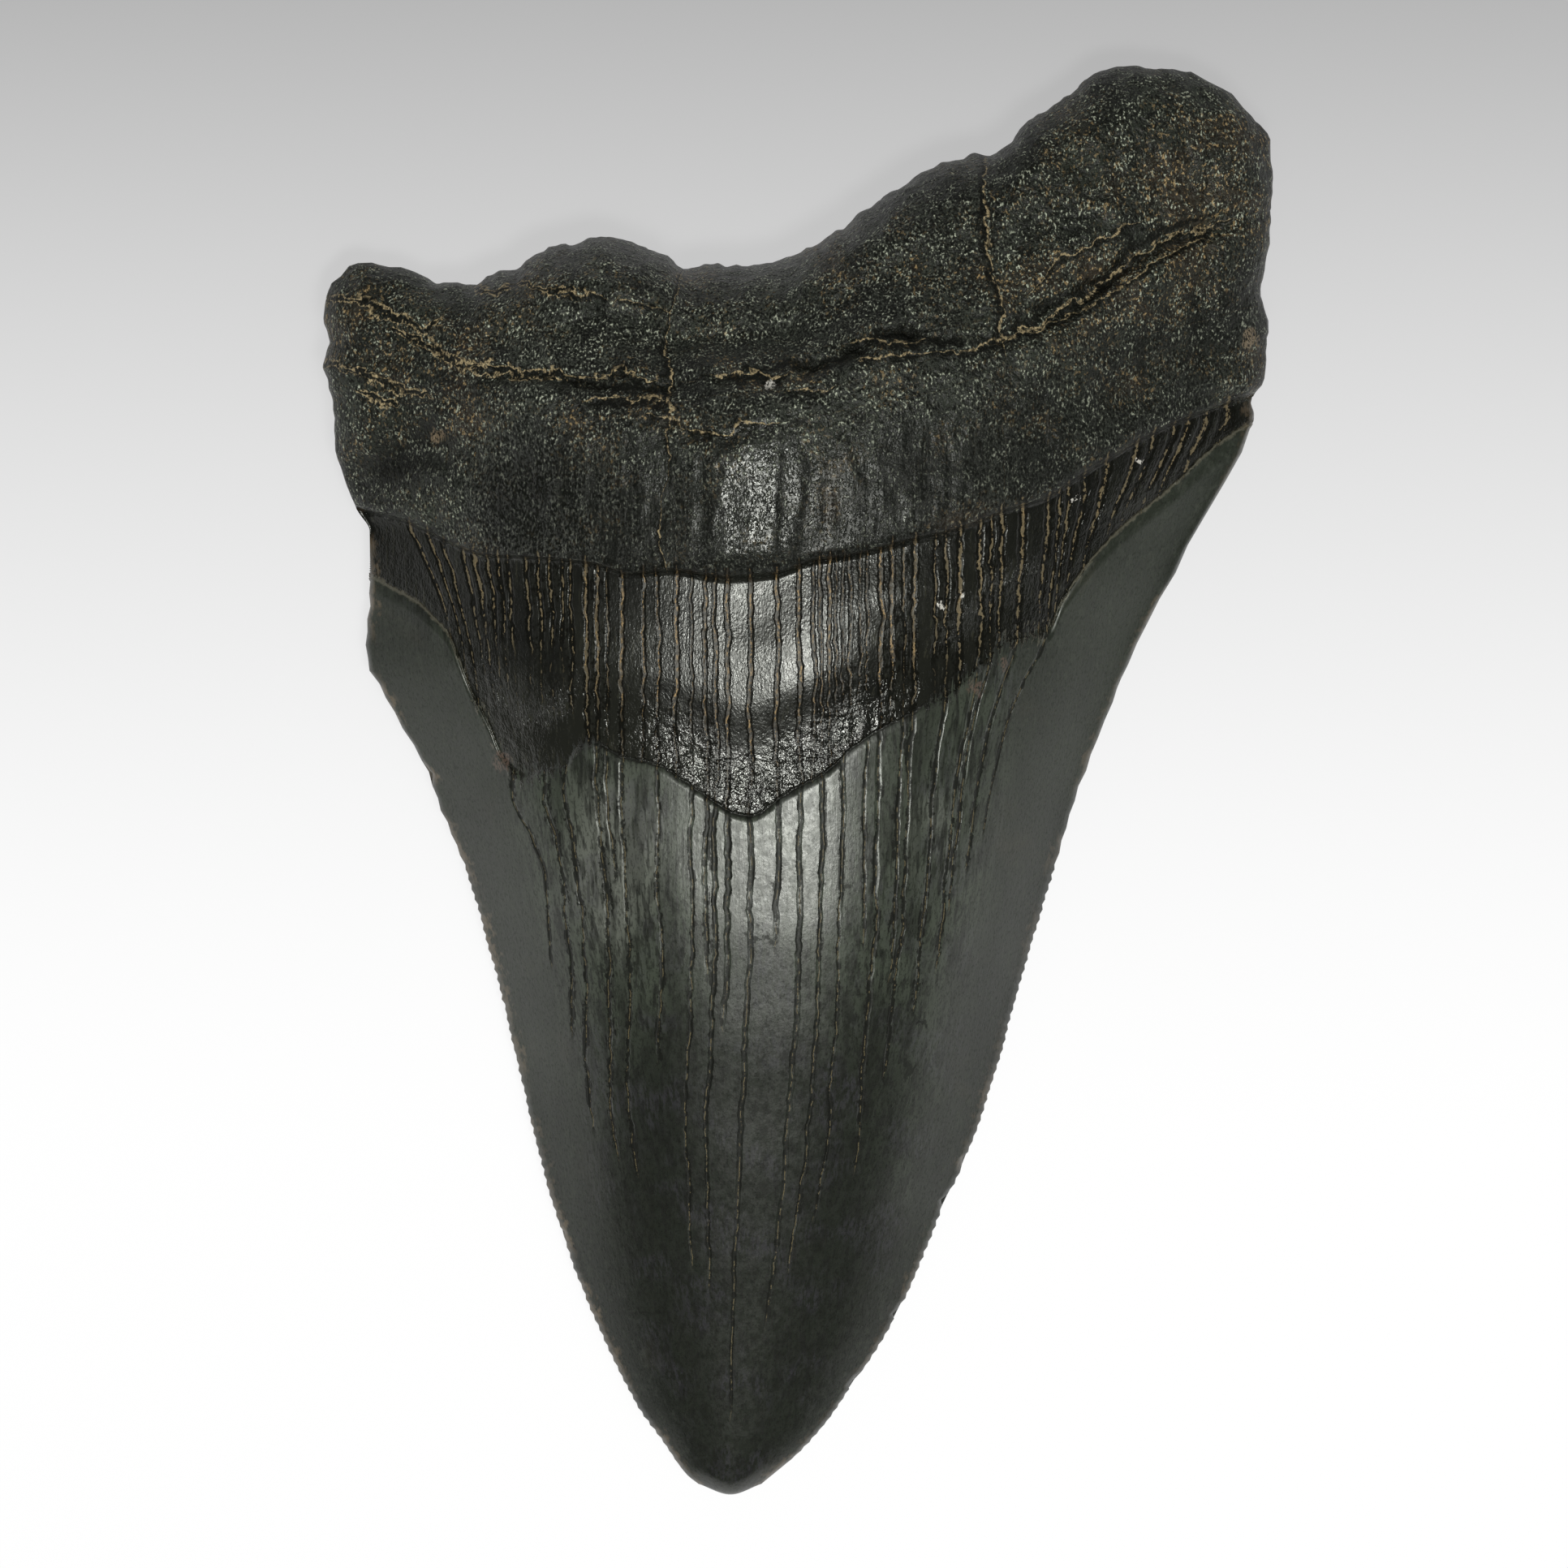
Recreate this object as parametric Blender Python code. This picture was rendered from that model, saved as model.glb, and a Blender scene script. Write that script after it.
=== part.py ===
"""Megalodon tooth, fossil, lying on its flat outer (labial) face with the root towards +Y.

One closed solid. The inner (lingual) face looks up. It is lofted through named section lines:
the worn tip, the crown, the lip of the enamel, the dark band under the root, the root's ledge,
its belly, its furrow and its top. The labial face is a second loft, flattened where it rests.
Lengths are millimetres until the mesh is written, which is in metres with +Z up.
"""

import math

import bmesh
import bpy
import numpy as np
from mathutils import Vector, noise

# ---- driving dimensions, millimetres
TOOTH_WIDTH = 79.7          # across the root, X
TOOTH_LENGTH = 120.0        # worn tip to the top of the right root lobe, Y
TOOTH_THICKNESS = 26.3      # resting flats to the top of the root's boss, Z
MIDDLE_LINE = -3.3          # x of the tooth's middle line through the root and upper crown
TIP_X = -5.7                # the crown leans, so the tip stands left of the middle line
STRAIGHT_HALF = 26.2        # half of the width over which cracks run straight up the tooth
EDGE_BEVEL = 0.5            # how far the cutting edge is rounded in from the outline
ROOT_ROUNDING = 5.6         # the same on the flanks of the root
LABIAL_BEVEL = 1.0
LABIAL_ROOT_ROUNDING = 3.6
BEVEL_ENDS = 4.0            # y on the middle line up to which the edge is only bevelled
ROUNDING_STARTS = 26.0      # and from which the root's flanks are fully rounded
CRACK_DEPTH = 0.24          # cracks in the band under the root
CROWN_CRACK_DEPTH = 0.12
LIP_STEP = 0.3              # the enamel stands this far above the band
BAND_FOLD = 0.7             # how far the band climbs at the fold along its lower half
BAND_DIP = 0.1              # how much of that it first dips above the lip
BAND_SINKS_FROM = 0.3       # the share of the way from the fold to the ledge where it sinks again
BAND_FOLD_FADES = (12.0, 26.0)      # distances from the middle line over which it fades
BAND_SWELLING = (1.5, 9.5)  # the middle of a soft swelling on the band
BAND_SWELLING_SIZE = (8.0, 7.0)
BAND_SWELLING_RISE = 0.45
LEDGE_STEP = 1.8            # the root stands this far above the band's end

# ---- how finely the two faces are divided
TOP_COLUMNS = 32            # on each side of the middle line, before the rounded flank
TOP_FLANK = 3               # further columns on each rounded flank
LABIAL_COLUMNS = 15
LABIAL_FLANK = 2
LABIAL_INSET = 0.3          # share of its last column and row by which this face stays inside

# ---- outline, millimetres: the left and right edges as (y, x) from the tip up
LEFT_EDGE = (
    (-59.1, -8.4), (-58.4, -9.3), (-56.4, -10.8), (-52.3, -13.6), (-46.8, -16.4), (-40.7, -18.9),
    (-33.2, -21.3), (-23.7, -23.6), (-15.5, -25.6), (-7.3, -28.0), (-1.9, -30.2),
    (1.1, -31.3), (4.9, -33.5), (7.7, -35.0), (10.0, -36.2), (11.8, -36.3),
    (15.5, -36.0), (21.0, -36.0), (22.7, -37.0), (25.4, -38.1), (28.4, -38.9),
    (32.2, -39.0), (34.9, -39.8), (36.6, -39.5), (39.1, -39.8), (41.7, -39.0),
)
RIGHT_EDGE = (
    (-59.1, -3.1), (-56.4, 0.1), (-53.7, 2.5), (-49.6, 5.3), (-46.8, 7.2),
    (-41.4, 9.9), (-35.9, 12.1), (-31.9, 14.0), (-25.0, 16.4), (-18.2, 18.3),
    (-11.4, 20.3), (-6.0, 21.9), (-0.5, 23.6), (4.9, 25.7), (9.0, 27.4),
    (13.1, 29.2), (17.2, 31.5), (21.3, 33.5), (24.0, 35.2), (26.7, 36.7),
    (29.5, 38.0), (30.8, 38.3), (31.9, 38.0), (33.6, 39.1), (35.6, 39.3),
    (37.6, 39.5), (40.4, 38.9), (45.8, 39.5), (51.3, 39.8), (53.9, 39.5),
    (55.2, 38.7),
)
# the root's top edge as (x, y), from the left lobe to the right lobe
ROOT_TOP = (
    (-39.0, 41.7), (-37.9, 43.1), (-36.7, 43.4), (-33.6, 43.2), (-31.6, 42.4),
    (-29.5, 41.8), (-27.3, 41.6), (-26.1, 42.4), (-23.4, 43.0), (-22.6, 43.9),
    (-19.3, 45.1), (-16.2, 45.5), (-14.2, 45.2), (-11.1, 44.1), (-9.1, 43.0),
    (-6.7, 43.3), (-4.0, 43.2), (-1.9, 43.6), (1.2, 44.9), (5.2, 47.6),
    (9.3, 50.5), (11.4, 51.5), (13.4, 52.2), (16.7, 52.8), (19.6, 55.6),
    (21.6, 56.7), (23.6, 58.5), (25.7, 59.7), (28.8, 60.0), (31.8, 59.7),
    (34.9, 58.6), (36.9, 57.1), (38.7, 55.2),
)

# ---- lines on the lingual face as (x, y), from the left edge to the right edge
ENAMEL_LIP = (
    (-36.0, 17.2), (-34.6, 17.0), (-32.1, 15.2), (-29.5, 12.7), (-27.5, 7.9),
    (-25.9, 4.8), (-24.8, 2.2), (-22.7, 0.4), (-21.3, 1.1), (-19.2, 1.5),
    (-18.4, 3.0), (-17.1, 3.3), (-14.8, 2.1), (-11.7, 1.4), (-9.1, -0.2),
    (-5.1, -2.7), (-4.1, -2.9), (-1.0, -1.0), (2.7, 1.1), (4.3, 2.7),
    (7.4, 4.7), (10.3, 6.1), (13.6, 8.2), (15.3, 10.0), (17.7, 11.9),
    (21.0, 12.8), (22.1, 15.2), (26.0, 20.2), (31.4, 24.8), (35.2, 28.3),
    (38.2, 30.2),
)
ROOT_LEDGE = (
    (-37.0, 22.8), (-33.0, 21.6), (-29.0, 19.7), (-26.0, 18.6), (-22.2, 18.4),
    (-16.8, 17.8), (-14.2, 17.0), (-10.6, 17.3), (-6.1, 16.7), (-2.0, 17.0),
    (1.2, 18.1), (4.6, 18.6), (8.0, 19.5), (13.4, 20.8), (17.5, 22.4),
    (20.2, 23.2), (23.2, 25.0), (26.4, 27.0), (29.7, 28.9), (33.0, 30.4),
    (36.3, 31.6), (38.1, 32.3),
)
ROOT_FURROW = (
    (-39.5, 35.6), (-33.4, 34.9), (-26.3, 33.6), (-19.2, 33.2), (-11.4, 32.6),
    (-7.7, 33.2), (-2.4, 33.2), (2.2, 34.6), (7.4, 36.4), (13.4, 36.8),
    (16.8, 37.3), (21.7, 39.0), (24.7, 41.2), (27.8, 43.0), (30.9, 44.8),
    (33.9, 46.2), (39.6, 48.0),
)
ROOT_BELLY = ((-39.1, 31.0), (-25.0, 28.2), (-4.0, 27.8), (12.0, 30.0), (25.0, 34.0), (39.4, 40.4))
ROOT_SHOULDER = (
    (-39.6, 38.4), (-34.0, 38.6), (-29.0, 37.0), (-20.0, 39.4), (-16.0, 39.8), (-9.0, 37.4),
    (-2.0, 37.8), (6.0, 42.4), (15.0, 47.0), (22.0, 50.6), (29.0, 53.6), (35.0, 52.8), (39.75, 50.6),
)
LABIAL_BORDER = ((-36.0, 19.4), (-20.0, 19.6), (-4.0, 21.0), (14.0, 24.4), (38.1, 31.6))


def level_line(end_y, middle_y, middle_x=MIDDLE_LINE):
    """A crown section that sags a little towards the tip."""
    return ((middle_x - 20.0, end_y), (middle_x, middle_y), (middle_x + 20.0, end_y))


def tip_line(end_y, middle_y):
    """A section around the worn tip."""
    return ((-8.4, end_y), (TIP_X, middle_y), (-3.1, end_y))


def shifted(line, rise):
    return tuple((x, y + rise) for x, y in line)


def between(low, high, share):
    """A line part of the way from one line to another, at the lower one's stations."""
    high_x = [point[0] for point in high]
    high_y = [point[1] for point in high]
    return tuple(
        (x, y + share * (float(np.interp(x, high_x, high_y)) - y)) for x, y in low
    )


# ---- sections of the lingual face, from the tip up. Those of the crown and band have their
# line and the rows up to the next section, and the crown's dome below gives their height.
# Those of the root also have the surface's height at the left, in the middle and at the
# right, and how steeply that falls to the sides.
LINGUAL_SECTIONS = (
    (tip_line(-59.1, -60.0), 3),
    (tip_line(-57.7, -58.7), 2),
    (level_line(-49.0, -50.6, -5.2), 5),
    (level_line(-28.0, -31.0, -4.2), 6),
    (level_line(-7.0, -11.5), 5),
    (shifted(ENAMEL_LIP, -0.3), 1),
    (ENAMEL_LIP, 2),
    (between(ENAMEL_LIP, ROOT_LEDGE, 0.18), 4),
    (between(ENAMEL_LIP, ROOT_LEDGE, 0.5), 3),
    (ROOT_LEDGE, 7.0, 23.2, 6.6, 1.1, 1),
    (shifted(ROOT_LEDGE, 0.4), 7.8, 23.9, 7.2, 1.1, 3),
    (ROOT_BELLY, 11.4, 24.9, 11.4, 1.0, 4),
    (shifted(ROOT_FURROW, -1.1), 12.0, 23.8, 12.4, 0.95, 1),
    (ROOT_FURROW, 12.0, 23.1, 12.4, 0.95, 1),
    (shifted(ROOT_FURROW, 1.1), 12.0, 22.2, 12.4, 0.95, 3),
    (ROOT_SHOULDER, 11.6, 18.6, 12.2, 0.9, 4),
    (ROOT_TOP, 11.4, 18.2, 12.0, 0.9, 0),
)
LIP_TO_LEDGE = slice(5, 10)     # the sections that bound the band, from under the lip
LEDGE_TO_BELLY = slice(9, 12)
# ---- the crown's dome, carried on under the band to the ledge, by y: its height on the
# middle line, its height beside the cutting edge, how steeply it falls between them, and
# how flat it is across the middle
CROWN_MIDDLE = (
    (-60.0, 3.6), (-58.6, 4.5), (-50.6, 7.3), (-40.0, 10.7), (-31.0, 13.4), (-20.0, 16.4),
    (-11.5, 18.2), (-2.9, 19.3), (6.0, 20.3), (12.0, 20.95), (16.7, 21.8), (25.0, 22.6), (34.0, 23.0),
)
CROWN_SIDE = ((-60.0, 3.0), (-30.0, 3.3), (-3.0, 4.2), (16.0, 5.0), (34.0, 5.8))
CROWN_POWER = ((-60.0, 0.95), (-45.0, 1.05), (-15.0, 1.2), (10.0, 1.25), (34.0, 1.2))
CROWN_FLATNESS = ((-60.0, 2.0), (-30.0, 2.6), (-6.0, 3.2), (8.0, 2.9), (20.0, 2.6))

# ---- the labial face, with its own heights and steepness. Heights below 0 are what the
# resting patches are cut from.
LABIAL_SECTIONS = (
    (tip_line(-59.1, -60.0), 1.7, 1.2, 1.7, 1.0, 2),
    (tip_line(-57.0, -57.9), 1.8, 1.0, 1.8, 1.0, 2),
    (level_line(-47.0, -48.6, -5.2), 2.0, 0.1, 2.0, 1.2, 4),
    (level_line(-27.0, -29.0, -4.2), 2.3, -0.5, 2.3, 1.2, 3),
    (level_line(-7.0, -9.0), 2.6, -0.2, 2.6, 1.2, 3),
    (shifted(LABIAL_BORDER, -0.5), 3.2, 0.5, 3.4, 1.2, 1),
    (LABIAL_BORDER, 3.4, 0.9, 3.6, 1.2, 4),
    (shifted(ROOT_FURROW, 1.0), 2.2, 1.0, 2.2, 1.2, 2),
    (shifted(ROOT_SHOULDER, 0.6), 1.6, 1.9, 1.6, 1.2, 2),
    (ROOT_TOP, 2.0, 2.2, 2.0, 1.2, 0),
)

# ---- height of the outline itself, from the tip up, as (y at the middle line, height)
OUTLINE_HEIGHT = ((-60.0, 2.4), (-30.0, 2.9), (-3.0, 4.0), (16.0, 5.4), (25.0, 6.2), (43.3, 6.6))

# ---- places on the root: x and y, then a spot's half width and its depth or height
BOSS = (-4.6, 23.4)
BOSS_SIZE = (4.5, 6.6)
BOSS_RISE = 0.5
BOSS_FOOT = (17.2, 18.4, 21.4)  # y where its foot starts, stands highest and ends
BOSS_FOOT_RISE = 0.5
FURROWS_BY_BOSS = (-7.9, -1.3)
FURROW_BY_BOSS_SIZE = (0.7, 6.0)
FURROW_BY_BOSS_DEPTH = 0.14
FURROW_DEPTH = 0.35
FURROW_HALF_WIDTH = 1.1
FURROW_EXTRA_DEPTH = 0.75   # on the way up to the right lobe
FURROW_DEEPENS = (14.0, 24.0)
FURROW_ENDS = (32.0, 38.0)
NUTRIENT_PITS = (
    (8.8, 37.0, 1.3, 0.8), (4.4, 35.8, 1.2, 0.7), (-2.4, 32.9, 0.9, 0.6), (-30.0, 28.7, 1.1, 0.8),
)
LEFT_HOLLOW = (-33.8, 26.2, 3.2, 0.9)
TOP_KNOLL = (-17.0, 42.4, 4.4, 0.8)
LOBE_PADS = ((-22.0, 31.0, 8.5, 2.6), (23.0, 38.5, 9.0, 2.9))
# the root's lumps as (their width, their length, their height)
ROOT_LUMPS = ((6.2, 5.0, 0.4), (2.4, 2.0, 0.4))
ROOT_STARTS = (17.4, 19.0)  # y on the middle line over which the root's relief comes in

# ---- cracks: y on the middle line over which they open and close, going up
BAND_CRACKS_OPEN = (-2.4, -0.4)
BAND_CRACKS_CLOSE = (15.2, 17.0)
CROWN_CRACKS_OPEN = (-46.0, -20.0)
CROWN_CRACKS_CLOSE = (-3.6, -2.9)
CRACKS_LEAVE_WINGS = (19.0, 24.0)   # distances from the middle line over which they fade
CRACKS_VARY = 0.35          # how much shallower than the deepest one they are on average


def curve(points):
    """A smooth function through hand-chosen (a, b) points that doesn't overshoot them."""
    a = np.array([float(point[0]) for point in points])
    b = np.array([float(point[1]) for point in points])
    step = np.diff(a)
    slope = np.diff(b) / step
    both = slope[:-1] * slope[1:]
    total = np.where(both > 0.0, slope[:-1] + slope[1:], 1.0)
    tangent = np.concatenate(([slope[0]], np.where(both > 0.0, 2.0 * both / total, 0.0), [slope[-1]]))

    def value(x):
        x = np.clip(x, a[0], a[-1])
        i = np.clip(np.searchsorted(a, x, side="right") - 1, 0, len(step) - 1)
        t = (x - a[i]) / step[i]
        bend_in = tangent[i] * step[i] * t * (1.0 - t) ** 2
        bend_out = tangent[i + 1] * step[i] * t * t * (1.0 - t)
        rise = t * t * (3.0 - 2.0 * t)
        return b[i] + (b[i + 1] - b[i]) * rise + bend_in - bend_out

    return value


left_edge = curve(LEFT_EDGE)
right_edge = curve(RIGHT_EDGE)
outline_height = curve(OUTLINE_HEIGHT)
furrow_line = curve(ROOT_FURROW)
axis_x = curve(((-60.0, TIP_X), (-48.0, -5.2), (-30.0, -4.2), (-11.0, MIDDLE_LINE), (43.3, MIDDLE_LINE)))


def hill(x, y, place, size, sharpness=2.0):
    """1 in the middle of a rounded spot and 0 outside it."""
    across = np.abs((x - place[0]) / size[0]) ** sharpness
    along = np.abs((y - place[1]) / size[1]) ** sharpness
    return np.exp(-across - along)


def ramp(value, start, end):
    """0 before start, 1 after end and smooth between them."""
    t = np.clip((value - start) / (end - start), 0.0, 1.0)
    return t * t * (3.0 - 2.0 * t)


class Face:
    """One side of the tooth: a grid of columns and rows laid through its sections."""

    def __init__(self, sections, flank_widths):
        self.lines = [curve(section[0]) for section in sections]
        self.rows = [section[-1] for section in sections]
        on_axis = [TIP_X, TIP_X] + [MIDDLE_LINE] * (len(sections) - 2)
        self.stations = np.array([float(line(x)) for line, x in zip(self.lines, on_axis)])
        shaped = [(s, *section[1:5]) for s, section in zip(self.stations, sections) if len(section) > 2]
        self.side_left = curve([(row[0], row[1]) for row in shaped])
        self.middle = curve([(row[0], row[2]) for row in shaped])
        self.side_right = curve([(row[0], row[3]) for row in shaped])
        self.power = curve([(row[0], row[4]) for row in shaped])
        bevel, rounding = flank_widths
        between_them = (BEVEL_ENDS + ROUNDING_STARTS) / 2.0
        self.flank = curve((
            (-60.0, bevel), (BEVEL_ENDS, bevel), (between_them, 2.0 * bevel),
            (ROUNDING_STARTS, rounding), (43.3, rounding),
        ))
        self.row_ends = (
            self.rows_ending_on(left_edge, LEFT_EDGE[0][0], LEFT_EDGE[-1][0]),
            self.rows_ending_on(right_edge, RIGHT_EDGE[0][0], RIGHT_EDGE[-1][0]),
        )

    def rows_ending_on(self, edge, low_y, high_y):
        """Stations of the rows that meet an edge of the outline, and the y where they do."""
        y = np.linspace(low_y, high_y, 400)
        passing = np.array([line(edge(y)) for line in self.lines])
        stations = [np.interp(place, heights, self.stations) for place, heights in zip(y, passing.T)]
        return np.array(stations), y

    def row_stations(self):
        """Every row's place on the middle line, closer together on the rounded ends."""
        found = []
        last = len(self.rows) - 2
        for k, count in enumerate(self.rows[:-1]):
            low, high = self.stations[k], self.stations[k + 1]
            for j in range(count):
                share = j / count
                if k == 0:
                    share = 1.0 - math.cos(share * math.pi / 2.0)
                elif k == last:
                    share = math.sin(share * math.pi / 2.0)
                found.append(low + share * (high - low))
        return np.array(found + [self.stations[-1]])

    def end_point(self, station, side):
        """Where a row meets the left (0) or right (1) edge of the outline."""
        y = np.interp(station, *self.row_ends[side])
        return (right_edge if side else left_edge)(y), y

    def place(self, column, station):
        """x, y, share across the half width, and share of full height near the edges.

        column runs from -1 to 1 over the face and on to -2 and 2 over its rounded flanks.
        """
        left_x, _ = self.end_point(station, 0)
        right_x, _ = self.end_point(station, 1)
        axis = axis_x(station)
        sign = np.where(column < 0.0, -1.0, 1.0)
        flank = self.flank(station)
        half = np.where(column < 0.0, axis - left_x, right_x - axis) - flank
        inner = np.minimum(np.abs(column), 1.0)
        outer = np.maximum(np.abs(column) - 1.0, 0.0)
        wide = STRAIGHT_HALF * inner + (half - STRAIGHT_HALF) * inner**4
        crowding = np.clip(STRAIGHT_HALF / half, 1.0, 1.4)
        narrow = half * (1.0 - (1.0 - inner) ** crowding)
        offset = np.where(half >= STRAIGHT_HALF, wide, narrow)
        x = axis + sign * (offset + flank * outer)
        y = self.row_y(x, station)
        first, second = self.stations[:2]
        before, last = self.stations[-2:]
        tip_share = np.clip((second - station) / (second - first), 0.0, 1.0)
        top_share = np.clip((station - before) / (last - before), 0.0, 1.0)
        round_off = np.sqrt((1.0 - outer**2) * (1.0 - tip_share**2) * (1.0 - top_share**2))
        return x, y, sign * offset / half, round_off

    def row_y(self, x, station):
        """y of each row at x, between the two sections around it."""
        k = np.clip(np.searchsorted(self.stations, station, side="right") - 1, 0, len(self.stations) - 2)
        share = (station - self.stations[k]) / (self.stations[k + 1] - self.stations[k])
        heights = np.array([line(x) for line in self.lines])
        index = np.arange(len(x))
        return heights[k, index] * (1.0 - share) + heights[k + 1, index] * share

    def height(self, share_across, station):
        """Height of the bare surface before its edges are rounded."""
        side = np.where(share_across < 0.0, self.side_left(station), self.side_right(station))
        dome = np.maximum(1.0 - share_across**2, 0.0) ** self.power(station)
        return side + (self.middle(station) - side) * dome


crown_middle = curve(CROWN_MIDDLE)
crown_side = curve(CROWN_SIDE)
crown_power = curve(CROWN_POWER)
crown_flatness = curve(CROWN_FLATNESS)


def crown_dome(x, y):
    """The crown's bare surface, which falls from the middle line to the cutting edges."""
    axis = axis_x(y)
    half = np.where(x < axis, axis - left_edge(y), right_edge(y) - axis)
    share = np.clip(np.abs(x - axis) / half, 0.0, 1.0)
    side = crown_side(y)
    dome = np.maximum(1.0 - share ** crown_flatness(y), 0.0) ** crown_power(y)
    return side + (crown_middle(y) - side) * dome


def band_relief(face, x, y, station):
    """Steps down over the enamel's lip, bends along its middle and meets the root's ledge."""
    lip_low, lip, fold_low, fold_high, ledge = face.stations[LIP_TO_LEDGE]
    off_crown = ramp(station, lip_low, lip)
    dip = BAND_DIP * ramp(station, lip, fold_low)
    climb = BAND_FOLD * ramp(station, fold_low, fold_high)
    sinks_from = fold_high + BAND_SINKS_FROM * (ledge - fold_high)
    sink = (BAND_FOLD - BAND_DIP) * ramp(station, sinks_from, ledge)
    in_middle = 1.0 - ramp(np.abs(x - MIDDLE_LINE), *BAND_FOLD_FADES)
    swelling = BAND_SWELLING_RISE * hill(x, y, BAND_SWELLING, BAND_SWELLING_SIZE) * off_crown
    return in_middle * (climb - dip - sink) + swelling - LIP_STEP * off_crown


def lingual_surface(face, x, y, across, station):
    """Crown and band up to the ledge, then the root, which takes over up to its belly."""
    ledge, above_ledge, belly = face.stations[LEDGE_TO_BELLY]
    over_ledge = ramp(station, ledge, above_ledge)
    lower = crown_dome(x, y) + band_relief(face, x, y, station) + (LEDGE_STEP + LIP_STEP) * over_ledge
    taking_over = ramp(station, above_ledge, belly)
    return lower + (face.height(across, station) - lower) * taking_over


def spot(x, y, place):
    """Depth or height of one rounded spot, a little wider than long."""
    spot_x, spot_y, size, amount = place
    return amount * hill(x, y, (spot_x, spot_y), (size, 0.7 * size))


def root_relief(x, y, station):
    """Boss, furrows, pits, hollow, knoll and lumps of the root."""
    relief = BOSS_RISE * hill(x, y, BOSS, BOSS_SIZE, 4.0)
    foot_start, foot_top, foot_end = BOSS_FOOT
    foot = ramp(y, foot_start, foot_top) * np.clip((foot_end - y) / (foot_end - foot_top), 0.0, 1.0) ** 2
    relief += BOSS_FOOT_RISE * foot * hill(x, y, (BOSS[0], foot_top), BOSS_SIZE, 4.0)
    for furrow_x in FURROWS_BY_BOSS:
        relief -= FURROW_BY_BOSS_DEPTH * hill(x, y, (furrow_x, BOSS[1]), FURROW_BY_BOSS_SIZE)
    deeper = ramp(x, *FURROW_DEEPENS) * (1.0 - ramp(x, *FURROW_ENDS))
    depth = FURROW_DEPTH + FURROW_EXTRA_DEPTH * deeper
    relief -= depth * np.exp(-(((y - furrow_line(x)) / FURROW_HALF_WIDTH) ** 2))
    for pit in (*NUTRIENT_PITS, LEFT_HOLLOW):
        relief -= spot(x, y, pit)
    relief += spot(x, y, TOP_KNOLL)
    for wide, long, high in ROOT_LUMPS:
        lumps = [noise.noise(Vector((a / wide, b / long, wide))) for a, b in zip(x, y)]
        relief += high * np.array(lumps)
    return ramp(station, *ROOT_STARTS) * relief


def crack_relief(column_number, x, station):
    """Cracks up the dark band along every second column and, along every fourth, the crown."""
    band = ramp(station, *BAND_CRACKS_OPEN) * (1.0 - ramp(station, *BAND_CRACKS_CLOSE))
    crown = ramp(station, *CROWN_CRACKS_OPEN) * (1.0 - ramp(station, *CROWN_CRACKS_CLOSE))
    off_wings = 1.0 - ramp(np.abs(x - MIDDLE_LINE), *CRACKS_LEAVE_WINGS)
    uneven = 1.0 - CRACKS_VARY + CRACKS_VARY * np.sin(2.4 * column_number)
    deep = CRACK_DEPTH * band * (column_number % 2 == 1)
    deep += CROWN_CRACK_DEPTH * crown * off_wings * (column_number % 4 == 1)
    return -uneven * deep


def build_lingual(mesh):
    """The upper grid, moved to the lingual face. Returns its outer edges."""
    face = Face(LINGUAL_SECTIONS, (EDGE_BEVEL, ROOT_ROUNDING))
    columns, stations, numbers, verts = laid_grid(mesh, face, TOP_COLUMNS, TOP_FLANK, 0.0)
    x, y, across, round_off = face.place(columns, stations)
    base = outline_height(stations)
    surface = lingual_surface(face, x, y, across, stations)
    surface += root_relief(x, y, stations) + crack_relief(numbers, x, stations)
    z = base + (surface - base) * round_off
    move(verts, x, y, z)
    return outer_edges(mesh, verts)


def build_labial(mesh):
    """The lower grid, a little inside the outline, with flats where the tooth rests."""
    face = Face(LABIAL_SECTIONS, (LABIAL_BEVEL, LABIAL_ROOT_ROUNDING))
    columns, stations, _, verts = laid_grid(mesh, face, LABIAL_COLUMNS, LABIAL_FLANK, LABIAL_INSET)
    x, y, across, round_off = face.place(columns, stations)
    surface = face.height(across, stations)
    for pad in LOBE_PADS:
        surface -= spot(x, y, pad)
    surface = np.maximum(surface, 0.0)
    base = outline_height(stations)
    z = base - (base - surface) * round_off
    move(verts, x, y, z)
    return outer_edges(mesh, verts)


def laid_grid(mesh, face, columns_each_side, flank, inset):
    """A flat grid and, for each vertex, its column place, station and column number."""
    angles = [math.pi / 2.0 * (1.0 - j / flank * (1.0 - inset)) for j in range(1, flank + 1)]
    outer = [1.0 + math.cos(angle) for angle in angles]
    inner = [j / columns_each_side for j in range(columns_each_side + 1)]
    right = inner + outer
    places = np.array([-c for c in reversed(right[1:])] + right)
    stations = face.row_stations()
    if inset:
        stations[0] += inset * (stations[1] - stations[0])
        stations[-1] -= inset * (stations[-1] - stations[-2])
    made = bmesh.ops.create_grid(
        mesh, x_segments=len(places) - 1, y_segments=len(stations) - 1, size=1.0
    )
    verts = made["verts"]
    column = np.array([round((v.co.x + 1.0) / 2.0 * (len(places) - 1)) for v in verts])
    row = np.array([round((v.co.y + 1.0) / 2.0 * (len(stations) - 1)) for v in verts])
    return places[column], stations[row], column, verts


def move(verts, x, y, z):
    for vert, a, b, c in zip(verts, x, y, z):
        vert.co = (float(a), float(b), float(c))


def outer_edges(mesh, verts):
    own = set(verts)
    return [e for e in mesh.edges if e.is_boundary and e.verts[0] in own]


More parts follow.
